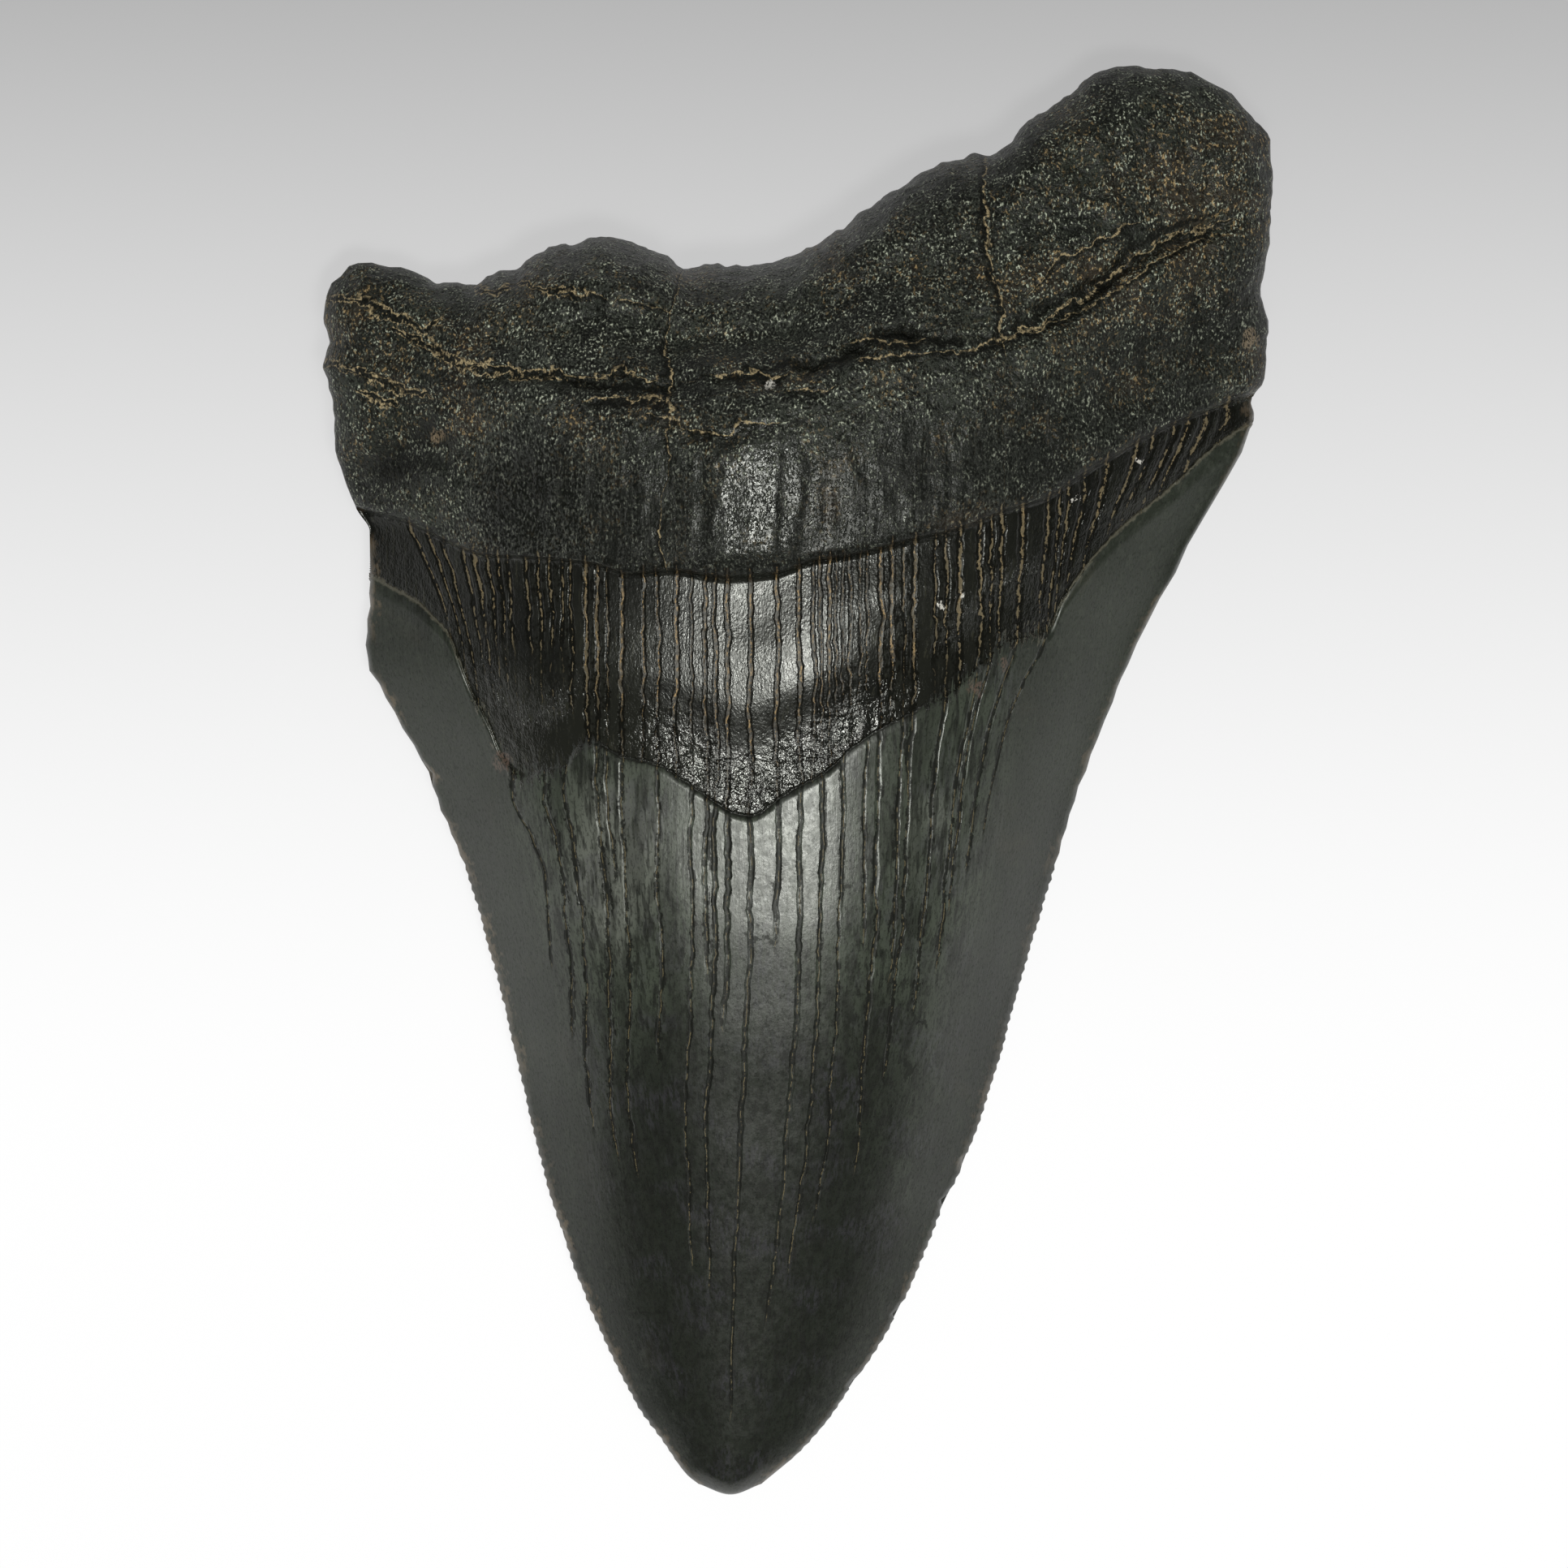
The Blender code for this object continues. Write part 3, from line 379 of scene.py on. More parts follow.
# the crown's dome by y: its middle, its side by the cutting edge, its steepness, and how flat
# it is across the middle
CROWN_MIDDLE = (
    (-60.0, 3.6), (-58.6, 4.5), (-50.6, 7.3), (-40.0, 10.7), (-31.0, 13.4), (-20.0, 16.4),
    (-11.5, 18.2), (-2.9, 19.3), (6.0, 20.3), (12.0, 20.95), (16.7, 21.8), (25.0, 22.6), (34.0, 23.0),
)
CROWN_SIDE = ((-60.0, 3.0), (-30.0, 3.3), (-3.0, 4.2), (16.0, 5.0), (34.0, 5.8))
CROWN_POWER = ((-60.0, 0.95), (-45.0, 1.05), (-15.0, 1.2), (10.0, 1.25), (34.0, 1.2))
CROWN_FLATNESS = ((-60.0, 2.0), (-30.0, 2.6), (-6.0, 3.2), (8.0, 2.9), (20.0, 2.6))
LABIAL_SECTIONS = (
    (tip_line(-59.1, -60.0), 1.7, 1.2, 1.7, 1.0, 4),
    (tip_line(-57.0, -57.9), 1.8, 1.0, 1.8, 1.0, 8),
    (level_line(-47.0, -48.6, -5.2), 2.0, 0.1, 2.0, 1.2, 16),
    (level_line(-27.0, -29.0, -4.2), 2.3, -0.5, 2.3, 1.2, 16),
    (level_line(-7.0, -9.0), 2.6, -0.2, 2.6, 1.2, 20),
    (shifted(LABIAL_BORDER, -0.5), 3.2, 0.5, 3.4, 1.2, 2),
    (LABIAL_BORDER, 3.4, 0.9, 3.6, 1.2, 16),
    (shifted(ROOT_FURROW, 1.0), 2.2, 1.0, 2.2, 1.2, 8),
    (shifted(ROOT_SHOULDER, 0.6), 1.6, 1.9, 1.6, 1.2, 6),
    (ROOT_TOP, 2.0, 2.2, 2.0, 1.2, 0),
)
# height of the outline itself from the tip up, as (y at the middle line, height)
OUTLINE_HEIGHT = ((-60.0, 2.4), (-30.0, 2.9), (-3.0, 4.0), (16.0, 5.4), (25.0, 6.2), (43.3, 6.6))


# =============================================================== curves and soft shapes
def curve(points):
    """A smooth function through given (a, b) points that doesn't overshoot them."""
    a = np.array([float(point[0]) for point in points])
    b = np.array([float(point[1]) for point in points])
    step = np.diff(a)
    slope = np.diff(b) / step
    both = slope[:-1] * slope[1:]
    total = np.where(both > 0.0, slope[:-1] + slope[1:], 1.0)
    tangent = np.concatenate(([slope[0]], np.where(both > 0.0, 2.0 * both / total, 0.0), [slope[-1]]))

    def value(x):
        x = np.clip(x, a[0], a[-1])
        i = np.clip(np.searchsorted(a, x, side="right") - 1, 0, len(step) - 1)
        t = (x - a[i]) / step[i]
        bend_in = tangent[i] * step[i] * t * (1.0 - t) ** 2
        bend_out = tangent[i + 1] * step[i] * t * t * (1.0 - t)
        rise = t * t * (3.0 - 2.0 * t)
        return b[i] + (b[i + 1] - b[i]) * rise + bend_in - bend_out

    return value


left_edge = curve(LEFT_EDGE)
right_edge = curve(RIGHT_EDGE)
outline_height = curve(OUTLINE_HEIGHT)
lip_line = curve(ENAMEL_LIP)
ledge_line = curve(ROOT_LEDGE)
furrow_line = curve(ROOT_FURROW)
labial_border = curve(LABIAL_BORDER)
left_wing = curve(LEFT_WING)
right_wing = curve(RIGHT_WING)
crown_middle = curve(CROWN_MIDDLE)
crown_side = curve(CROWN_SIDE)
crown_power = curve(CROWN_POWER)
crown_flatness = curve(CROWN_FLATNESS)
axis_x = curve(((TIP_Y, TIP_X), (-48.0, -5.2), (-30.0, -4.2), (-11.0, MIDDLE_LINE), (TOP_Y, MIDDLE_LINE)))


def hill(x, y, place, size, sharpness=2.0):
    """1 in the middle of a rounded spot and 0 outside it."""
    across = np.abs((x - place[0]) / size[0]) ** sharpness
    along = np.abs((y - place[1]) / size[1]) ** sharpness
    return np.exp(-across - along)


def spot(x, y, place):
    """Depth or height of one rounded spot, a little wider than long."""
    spot_x, spot_y, size, amount = place
    return amount * hill(x, y, (spot_x, spot_y), (size, 0.7 * size))


def ramp(value, start, end):
    """0 before start, 1 after end and smooth between them."""
    t = np.clip((value - start) / (end - start), 0.0, 1.0)
    return t * t * (3.0 - 2.0 * t)


def uneven(x, y, wide, long, layer):
    """Soft noise between -1 and 1 with lumps of that width and length."""
    return np.array([noise.noise(Vector((a / wide, b / long, layer))) for a, b in zip(x, y)])


# =============================================================== the grid of one face
class Face:
    """One side of the tooth: a grid of columns and rows laid through its sections."""

    def __init__(self, sections, flank_widths, leaning):
        self.leaning = leaning
        self.lines = [curve(section[0]) for section in sections]
        on_axis = [TIP_X, TIP_X] + [MIDDLE_LINE] * (len(sections) - 2)
        self.stations = np.array([float(line(x)) for line, x in zip(self.lines, on_axis)])
        self.rows = [section[-1] for section in sections]
        shaped = [(s, *section[1:5]) for s, section in zip(self.stations, sections) if len(section) > 2]
        self.side_left = curve([(row[0], row[1]) for row in shaped])
        self.middle = curve([(row[0], row[2]) for row in shaped])
        self.side_right = curve([(row[0], row[3]) for row in shaped])
        self.power = curve([(row[0], row[4]) for row in shaped])
        bevel, rounding = flank_widths
        widths = ((TIP_Y, bevel), (4.0, bevel), (16.0, 2.0 * bevel), (26.0, rounding), (TOP_Y, rounding))
        self.flank = curve(widths)
        self.row_ends = (
            self.rows_ending_on(left_edge, LEFT_EDGE[0][0], LEFT_EDGE[-1][0]),
            self.rows_ending_on(right_edge, RIGHT_EDGE[0][0], RIGHT_EDGE[-1][0]),
        )

    def rows_ending_on(self, edge, low_y, high_y):
        """Stations of the rows that meet an edge of the outline, and the y where they do."""
        y = np.linspace(low_y, high_y, 400)
        passing = np.array([line(edge(y)) for line in self.lines])
        stations = [np.interp(place, heights, self.stations) for place, heights in zip(y, passing.T)]
        return np.array(stations), y

    def row_stations(self):
        """Every row's place on the middle line, closer together on the rounded ends."""
        found = []
        last = len(self.rows) - 2
        for k, count in enumerate(self.rows[:-1]):
            low, high = self.stations[k], self.stations[k + 1]
            for j in range(count):
                share = j / count
                if k == 0:
                    share = 1.0 - math.cos(share * math.pi / 2.0)
                elif k == last:
                    share = math.sin(share * math.pi / 2.0)
                found.append(low + share * (high - low))
        return np.array(found + [self.stations[-1]])

    def end_point(self, station, side):
        """Where a row meets the left (0) or right (1) edge of the outline."""
        y = np.interp(station, *self.row_ends[side])
        return (right_edge if side else left_edge)(y), y

    def place(self, column, station, stray=0.0):
        """x, y, share across the half width, and share of full height near the edges.

        column runs from -1 to 1 over the face and on to -2 and 2 over its rounded flanks.
        stray moves each point sideways along its row.
        """
        left_x, _ = self.end_point(station, 0)
        right_x, _ = self.end_point(station, 1)
        axis = axis_x(station)
        sign = np.where(column < 0.0, -1.0, 1.0)
        flank = self.flank(station)
        half = np.where(column < 0.0, axis - left_x, right_x - axis) - flank
        inner = np.minimum(np.abs(column), 1.0)
        outer = np.maximum(np.abs(column) - 1.0, 0.0)
        wide = STRAIGHT_HALF * inner + (half - STRAIGHT_HALF) * inner**4
        crowding = np.clip(STRAIGHT_HALF / half, 1.0, 1.4)
        narrow = half * (1.0 - (1.0 - inner) ** crowding)
        offset = np.where(half >= STRAIGHT_HALF, wide, narrow)
        lean = CRACK_LEAN * (1.0 - ramp(station, -3.0, 17.0)) * ramp(station, -32.0, -6.0)
        offset = offset - self.leaning * lean * (inner**8 - inner**18)
        x = axis + sign * (offset + flank * outer) + stray
        y = self.row_y(x, station)
        first, second = self.stations[:2]
        before, last = self.stations[-2:]
        tip_share = np.clip((second - station) / (second - first), 0.0, 1.0)
        top_share = np.clip((station - before) / (last - before), 0.0, 1.0)
        round_off = np.sqrt((1.0 - outer**2) * (1.0 - tip_share**2) * (1.0 - top_share**2))
        return x, y, sign * offset / half, round_off

    def row_y(self, x, station):
        """y of each row at x, between the two sections around it."""
        k = np.clip(np.searchsorted(self.stations, station, side="right") - 1, 0, len(self.stations) - 2)
        share = (station - self.stations[k]) / (self.stations[k + 1] - self.stations[k])
        heights = np.array([line(x) for line in self.lines])
        index = np.arange(len(x))
        return heights[k, index] * (1.0 - share) + heights[k + 1, index] * share

    def height(self, share_across, station):
        """Height of the bare surface before its edges are rounded."""
        side = np.where(share_across < 0.0, self.side_left(station), self.side_right(station))
        dome = np.maximum(1.0 - share_across**2, 0.0) ** self.power(station)
        return side + (self.middle(station) - side) * dome


def crown_dome(x, y):
    """The crown's bare surface, which falls from the middle line to the cutting edges."""
    axis = axis_x(y)
    half = np.where(x < axis, axis - left_edge(y), right_edge(y) - axis)
    share = np.clip(np.abs(x - axis) / half, 0.0, 1.0)
    side = crown_side(y)
    dome = np.maximum(1.0 - share ** crown_flatness(y), 0.0) ** crown_power(y)
    return side + (crown_middle(y) - side) * dome


def band_relief(face, x, y, station):
    """Steps down over the enamel's lip, bends along its middle and meets the root's ledge."""
    lip_low, lip, fold_low, fold_high, ledge = face.stations[LIP_TO_LEDGE]
    off_crown = ramp(station, lip_low, lip)
    dip = BAND_DIP * ramp(station, lip, fold_low)
    climb = BAND_FOLD * ramp(station, fold_low, fold_high)
    sinks_from = fold_high + BAND_SINKS_FROM * (ledge - fold_high)
    sink = (BAND_FOLD - BAND_DIP) * ramp(station, sinks_from, ledge)
    in_middle = 1.0 - ramp(np.abs(x - MIDDLE_LINE), 12.0, 26.0)
    swelling = BAND_SWELLING_RISE * hill(x, y, BAND_SWELLING, BAND_SWELLING_SIZE) * off_crown
    return in_middle * (climb - dip - sink) + swelling - LIP_STEP * off_crown


def lingual_surface(face, x, y, across, station):
    """Crown and band up to the ledge, then the root, which takes over up to its belly."""
    ledge, above_ledge, belly = face.stations[LEDGE_TO_BELLY]
    over_ledge = ramp(station, ledge, above_ledge)
    lower = crown_dome(x, y) + band_relief(face, x, y, station) + (LEDGE_STEP + LIP_STEP) * over_ledge
    taking_over = ramp(station, above_ledge, belly)
    return lower + (face.height(across, station) - lower) * taking_over


# =============================================================== the root's surface
def off_line(along, aside, points):
    """Signed distance from a line of (along, aside, strength) points, and its strength there."""
    line = curve([point[:2] for point in points])
    strength = np.interp(along, [point[0] for point in points], [point[2] for point in points])
    return aside - line(along), strength


def line_mark(along, aside, points):
    """A signed distance that grows where the line is weak, so that the line thins out."""
    distance, strength = off_line(along, aside, points)
    return distance / np.maximum(strength, 0.02)


def boss_relief(x, y, on_boss):
    """The boss with its foot on the ledge, and the furrows beside it."""
    foot_start, foot_top, foot_end = BOSS_FOOT
    foot = ramp(y, foot_start, foot_top) * np.clip((foot_end - y) / (foot_end - foot_top), 0.0, 1.0) ** 2
    relief = BOSS_RISE * on_boss + BOSS_FOOT_RISE * foot * hill(x, y, (BOSS[0], foot_top), BOSS_SIZE, 4.0)
    for furrow_x in FURROWS_BY_BOSS:
        relief -= FURROW_BY_BOSS_DEPTH * hill(x, y, (furrow_x, BOSS[1]), FURROW_BY_BOSS_SIZE)
    return relief


def root_relief(x, y, station):
    """Boss, furrow, pits, hollow, knoll, striae, veins, cracks and lumps of the root."""
    on_boss = hill(x, y, BOSS, BOSS_SIZE, 4.0)
    relief = boss_relief(x, y, on_boss)
    deeper = ramp(x, 14.0, 24.0) * (1.0 - ramp(x, 32.0, 38.0))
    depth = FURROW_DEPTH + FURROW_EXTRA_DEPTH * deeper
    relief -= depth * np.exp(-(((y - furrow_line(x)) / FURROW_HALF_WIDTH) ** 2))
    for pit in (*NUTRIENT_PITS, LEFT_HOLLOW):
        relief -= spot(x, y, pit)
    relief += spot(x, y, TOP_KNOLL)
    striae_here = ramp(y, 18.0, 24.0) * (1.0 - ramp(y, 32.0, 36.0))
    relief += 0.1 * striae_here * uneven(x, y, 0.75, 7.0, 21.0)
    for vein in VEINS:
        distance, strength = off_line(x, y, vein)
        relief += 0.3 * strength * np.tanh(distance / 0.35) * np.exp(-((distance / 1.2) ** 2))
    distance, strength = off_line(x, y, DARK_FOLD)
    relief -= 0.5 * strength * np.exp(-((distance / 0.6) ** 2))
    for crack in ROOT_CRACKS:
        distance, strength = off_line(y, x, crack)
        relief -= 0.22 * strength * np.exp(-((distance / 0.3) ** 2))
    rough = 0.4 + 0.6 * np.maximum(ramp(y - furrow_line(x), -2.5, 0.5), ramp(-x, 23.0, 30.0))
    calm = 1.0 - 0.7 * on_boss
    relief += 0.4 * calm * uneven(x, y, 6.2, 5.0, 6.2)
    relief += 0.4 * calm * rough * uneven(x, y, 2.4, 2.0, 2.4)
    relief += 0.3 * rough * uneven(x, y, 1.1, 1.2, 15.0)
    return ramp(station, *ROOT_RELIEF_STARTS) * relief


# =============================================================== cracks
def crack_places():
    """Each crack's place across the face, found from its distance in the middle of the band."""
    left_half, right_half = BAND_HALVES
    shares = np.linspace(0.0, 1.0, 401)
    found = []
    for distance in BAND_CRACKS:
        half = left_half if distance < 0.0 else right_half
        reach = STRAIGHT_HALF * shares + (half - STRAIGHT_HALF) * shares**4
        found.append(math.copysign(float(np.interp(abs(distance), reach, shares)), distance))
    return found


class Cracks:
    """The cracks' places, widths and strengths, and the columns that run along them.

    A crack is five columns wide: the plates' two edges, two gutters and the filling between.
    """

    def __init__(self):
        chance = random.Random(11)
        self.places = crack_places()
        self.count = len(self.places)
        self.gaps = np.diff(self.places) * STRAIGHT_HALF
        self.bold = [1.0 if d in BOLD_CRACKS else 0.45 + 0.35 * chance.random() for d in BAND_CRACKS]
        self.crown_end = [CROWN_CRACKS.get(d, 20.0) for d in BAND_CRACKS]
        self.crown_bold = [0.6 + 0.4 * chance.random() for _ in BAND_CRACKS]

    def widths(self, i):
        """How far the gutter and the plate's edge lie from the middle of crack i."""
        room = min(self.gaps[max(i - 1, 0)], self.gaps[min(i, self.count - 2)])
        edge = min(0.14 + 0.13 * self.bold[i], 0.44 * room)
        return 0.55 * edge, edge

    def columns(self):
        """(place, share of the gutter's distance, nearest crack, plate) of every column."""
        found = []
        for i, place in enumerate(self.places):
            gutter, edge = self.widths(i)
            for side, plate in ((-1.0, i), (1.0, i + 1)):
                found.append((place + side * edge / STRAIGHT_HALF, edge / gutter, i, plate))
                found.append((place + side * gutter / STRAIGHT_HALF, 1.0, i, plate))
            found.append((place, 0.0, i, i))
            if i + 1 == self.count:
                continue
            free = self.gaps[i] - edge - self.widths(i + 1)[1]
            between_them = 2 if free > 1.1 else (1 if free > 0.4 else 0)
            start = place + edge / STRAIGHT_HALF
            for j in range(1, between_them + 1):
                share = j / (between_them + 1)
                nearest = i if share <= 0.5 else i + 1
                found.append((start + share * free / STRAIGHT_HALF, 4.0, nearest, i + 1))
        for side in (-1.0, 1.0):
            number = 0 if side < 0.0 else self.count - 1
            plate = 0 if side < 0.0 else self.count
            start = self.places[number] + side * self.widths(number)[1] / STRAIGHT_HALF
            steps = max(2, round(abs(side - start) / 0.026))
            for j in range(1, steps + 1):
                found.append((start + (side - start) * j / steps, 4.0, number, plate))
            for j in range(1, FLANK_COLUMNS + 1):
                angle = math.pi / 2.0 * (1.0 - j / FLANK_COLUMNS)
                found.append((side * (1.0 + math.cos(angle)), 4.0, number, plate))
        return sorted(found)

    def wander(self, places, rows_y):
        """How far each column strays sideways at each row, as an array of rows by columns."""
        stray = np.zeros((len(rows_y), self.count))
        for i in range(self.count):
            number = np.full(len(rows_y), 5.3 * i)
            slow = uneven(number, rows_y, 1.0, 4.5, 2.0)
            quick = uneven(number, rows_y, 1.0, 1.4, 6.0)
            jitter = uneven(number, rows_y, 1.0, 0.55, 10.0)
            stray[:, i] = CRACK_WANDER * (0.9 * slow + 0.6 * quick + 0.4 * jitter)
        calm = 1.0 - ramp(np.abs(places), 0.86, 0.98)
        return np.array([np.interp(places, self.places, row) for row in stray]) * calm

    def strength(self, number, y, station):
        """How open each crack is, from 0 to 1: in the band, and on down the crown."""
        bold = np.array(self.bold)[number]
        crown_bold = np.array(self.crown_bold)[number]
        crown_end = np.array(self.crown_end)[number]
        broken = 0.9 + 0.55 * uneven(number * 7.7, y, 1.0, 2.8, 31.0)
        distance = np.array(BAND_CRACKS)[number]
        plain = ramp(distance, -27.0, -24.0) * (1.0 - ramp(distance, -16.5, -14.5))
        lower = 1.0 - 0.75 * ramp(-station, -5.0, -1.0)
        lower = lower * (1.0 - 0.8 * plain * ramp(-station, -13.0, -8.0))
        start = 16.7 + 0.7 * uneven(number * 4.1, y * 0.0, 1.0, 1.0, 35.0)
        band = bold * lower * ramp(station, -3.6, -2.4) * (1.0 - ramp(station - start, 0.0, 0.9))
        down = ramp(y, crown_end - 1.0, crown_end + 5.0) * (crown_end < 15.0)
        crown = crown_bold * down * (1.0 - ramp(station, -3.2, -2.6))
        return np.clip((band + crown) * broken, 0.0, 1.0)


# =============================================================== the cutting edges
def edge_offset(row_y, nicks, seed):
    """How far a serrated edge stands out at each row: two rows to a serration, unevenly worn."""
    parity = np.where(np.arange(len(row_y)) % 2 == 0, 1.0, -1.0)
    worn = 0.8 + 0.6 * uneven(row_y, row_y, 2.4, 2.4, seed)
    offset = SERRATION_DEPTH * parity * worn + 0.1 * uneven(row_y, row_y, 3.0, 3.0, seed + 3.0)
    for nick_y, depth in nicks:
        offset -= depth * np.exp(-(((row_y - nick_y) / NICK_HALF_LENGTH) ** 2))
    return offset


# =============================================================== building the mesh
def laid_grid(mesh, places, stations):
    """A flat grid with a column and a row number for each vertex."""
    wide, high = len(places) - 1, len(stations) - 1
    verts = bmesh.ops.create_grid(mesh, x_segments=wide, y_segments=high, size=1.0)["verts"]
    column = np.array([round((v.co.x + 1.0) / 2.0 * wide) for v in verts])
    row = np.array([round((v.co.y + 1.0) / 2.0 * high) for v in verts])
    return column, row, verts


def crease(verts, column, creased):
    """Sharpens the edges that run up a column between creased vertices."""
    along = {vert: c for vert, c, sharp in zip(verts, column, creased) if sharp}
    for vert, c in along.items():
        for edge in vert.link_edges:
            if along.get(edge.other_vert(vert)) == c:
                edge.smooth = False


def move(verts, x, y, z):
    """Puts each vertex in its place."""
    for vert, a, b, c in zip(verts, x, y, z):
        vert.co = (float(a), float(b), float(c))


def outer_edges(mesh, verts):
    """The open edges around one grid."""
    own = set(verts)
    return [e for e in mesh.edges if e.is_boundary and e.verts[0] in own]


def mark(mesh, verts, marks):
    """Writes each named array of marks to the vertices, for the finish to read."""
    for name, values in marks.items():
        layer = mesh.verts.layers.float[name]
        for vert, value in zip(verts, values):
            vert[layer] = float(value)


def roughen_outline(x, y, station):
    """Small bumps that break the root's outline."""
    on_root = ramp(station, 18.0, 24.0)
    stray_x = 0.3 * uneven(x, y, 1.9, 1.9, 101.0) + 0.16 * uneven(x, y, 0.9, 0.9, 102.0)
    stray_y = 0.35 * uneven(x, y, 1.7, 1.7, 105.0) + 0.2 * uneven(x, y, 0.8, 0.8, 106.0)
    return x + on_root * stray_x, y + on_root * stray_y


def room_to_wander(place, station):
    """Cracks wander less where they crowd together, down at the tip and up on the root."""
    crowded = ramp(np.abs(place), 0.6, 0.78) * (1.0 - ramp(station, -3.0, 12.0))
    room = (1.0 - 0.75 * crowded) * (0.15 + 0.85 * ramp(station, TIP_Y, -28.0))
    return room * (1.0 - ramp(station, *CRACKS_STRAIGHTEN))


def crack_relief(share, in_band, strength):
    """A groove along every open crack, with a filling that stands up inside it on the band."""
    filling = np.interp(share, (0.0, 1.0), (0.65, 0.0)) * in_band
    profile = np.interp(share, (0.0, 1.0, 1.8), (1.0, 1.0, 0.0)) - filling
    depth = CROWN_CRACK_DEPTH + (CRACK_DEPTH - CROWN_CRACK_DEPTH) * in_band
    return -depth * strength * profile


def plate_relief(x, y, station, in_band, plate):
    """The band's plates lie unevenly, and they are crumpled near the middle of the lip."""
    lift = uneven(plate * 3.1, y, 1.0, 3.5, 40.0)
    crumple = uneven(x, y, 0.8, 1.1, 44.0)
    near_lip = in_band * (1.0 - ramp(station, 1.0, 5.0))
    near_lip = near_lip * (1.0 - 0.65 * ramp(np.abs(x - MIDDLE_LINE), 9.0, 15.0))
    return 0.04 * in_band * lift + (0.01 * in_band + 0.06 * near_lip) * crumple


def serrated(face, rows, row, x):
    """Moves the outermost columns to and fro, and carries a little of it inwards.

    Returns the moved x, the change of height and each vertex's distance from the nearer edge.
    """
    rise = np.zeros(len(x))
    edge_gaps = []
    for side, (nicks, fades_out, seed) in enumerate(CUTTING_EDGES):
        row_x, row_y = face.end_point(rows, side)
        offset = edge_offset(row_y, nicks, seed)
        offset = offset * ramp(row_y, *SERRATIONS_START) * (1.0 - ramp(row_y, *fades_out))
        gap = np.abs(x - row_x[row])
        edge_gaps.append(gap)
        reach = np.clip(1.0 - gap / SERRATION_REACH, 0.0, 1.0)
        x = x + (2 * side - 1) * offset[row] * reach
        rise += 0.6 * np.clip(offset[row], -0.1, 0.1) * reach * (reach < 0.95)
    return x, rise, np.minimum(*edge_gaps)


def build_lingual(mesh):
    """The upper grid, moved to the lingual face. Returns its outer edges."""
    face = Face(LINGUAL_SECTIONS, (EDGE_BEVEL, ROOT_ROUNDING), 1.0)
    cracks = Cracks()
    places, share, number, plate = (np.array(listed) for listed in zip(*cracks.columns()))
    rows = face.row_stations()
    column, row, verts = laid_grid(mesh, places, rows)
    station, share, number, plate = rows[row], share[column], number[column], plate[column]

    stray = cracks.wander(places, rows)[row, column] * room_to_wander(places[column], station)
    x, y, across, round_off = face.place(places[column], station, stray)
    strength = cracks.strength(number, y, station)
    crack_x = np.empty((len(rows), cracks.count))
    in_crack = share == 0.0
    crack_x[row[in_crack], number[in_crack]] = x[in_crack]
    off_crack = np.abs(x - crack_x[row, number])
    in_band = ramp(station, *BAND_STARTS) * (1.0 - ramp(station, *BAND_ENDS))
    relief = crack_relief(share, in_band, strength) + plate_relief(x, y, station, in_band, plate)
    x, edge_rise, from_edge = serrated(face, rows, row, x)

    base = outline_height(station)
    surface = lingual_surface(face, x, y, across, station)
    surface += root_relief(x, y, station) + relief + edge_rise
    surface += 0.06 * uneven(x, y, 5.0, 6.0, 60.0) * (1.0 - ramp(station, 17.0, 18.0))
    z = base + (surface - base) * round_off
    moved_x, moved_y = roughen_outline(x, y, station)
    move(verts, moved_x, moved_y, z)
    crease(verts, column, (share > 1.0) & (share < 3.0) & (strength > 0.1))
    mark(mesh, verts, lingual_marks(x, y) | {
        "crack_share": share,
        "crack": strength,
        "off_crack": off_crack,
        "from_edge": from_edge,
        "plate": uneven(plate * 2.7, y, 1.0, 14.0, 48.0),
    })
    return outer_edges(mesh, verts)


def lingual_marks(x, y):
    """Those marks of the lingual face that follow from the place alone."""
    marks = {
        "above_lip": y - lip_line(x),
        "above_ledge": y - ledge_line(x),
        "wing": np.maximum(ramp(-(x - left_wing(y)), -1.6, 1.6), ramp(x - right_wing(y), -1.6, 1.6)),
        "boss": hill(x, y, BOSS, GLOSSY_BOSS_SIZE, 4.0),
        "hollow": sum(spot(x, y, (*place[:3], 1.0)) for place in (*NUTRIENT_PITS, LEFT_HOLLOW)),
        "blot": sum(s * hill(x, y, (a, b), (size, 1.4 * size)) for a, b, size, s in BLOTS),
        "tone": face_tone(x, y),
        "stain": face_stain(x, y),
        "shaded_fold_line": line_mark(x, y, DARK_FOLD),
    }
    marks |= {name: line_mark(x, y, vein) for name, vein in zip(VEIN_MARKS, VEINS)}
    marks |= {name: line_mark(y, x, crack) for name, crack in zip(ROOT_CRACK_MARKS, ROOT_CRACKS)}
    return marks


def face_tone(x, y):
    """Slow changes from dark (-1) to light (1), darker towards the tip, with painted shade on the right
    wing.
    """
    clouds = 0.45 * uneven(x, y, 6.0, 9.0, 110.0) + 0.45 * uneven(x, y, 1.4, 5.0, 114.0)
    spots = sum(change * hill(x, y, place, size) for change, place, size in TONE_SPOTS)
    darker, place, size = TIP_DARKENS
    return clouds + spots - darker * ramp(-y, 6.0, 36.0) * hill(x, y, place, size)


def face_stain(x, y):
    """Brown staining: strongest on the lobes of the root, elsewhere in patches."""
    patches = 0.9 * uneven(x, y, 5.0, 4.0, 120.0) + 0.5 * uneven(x, y, 1.8, 1.6, 124.0)
    return patches + sum(change * hill(x, y, place, size) for change, place, size in STAIN_SPOTS)


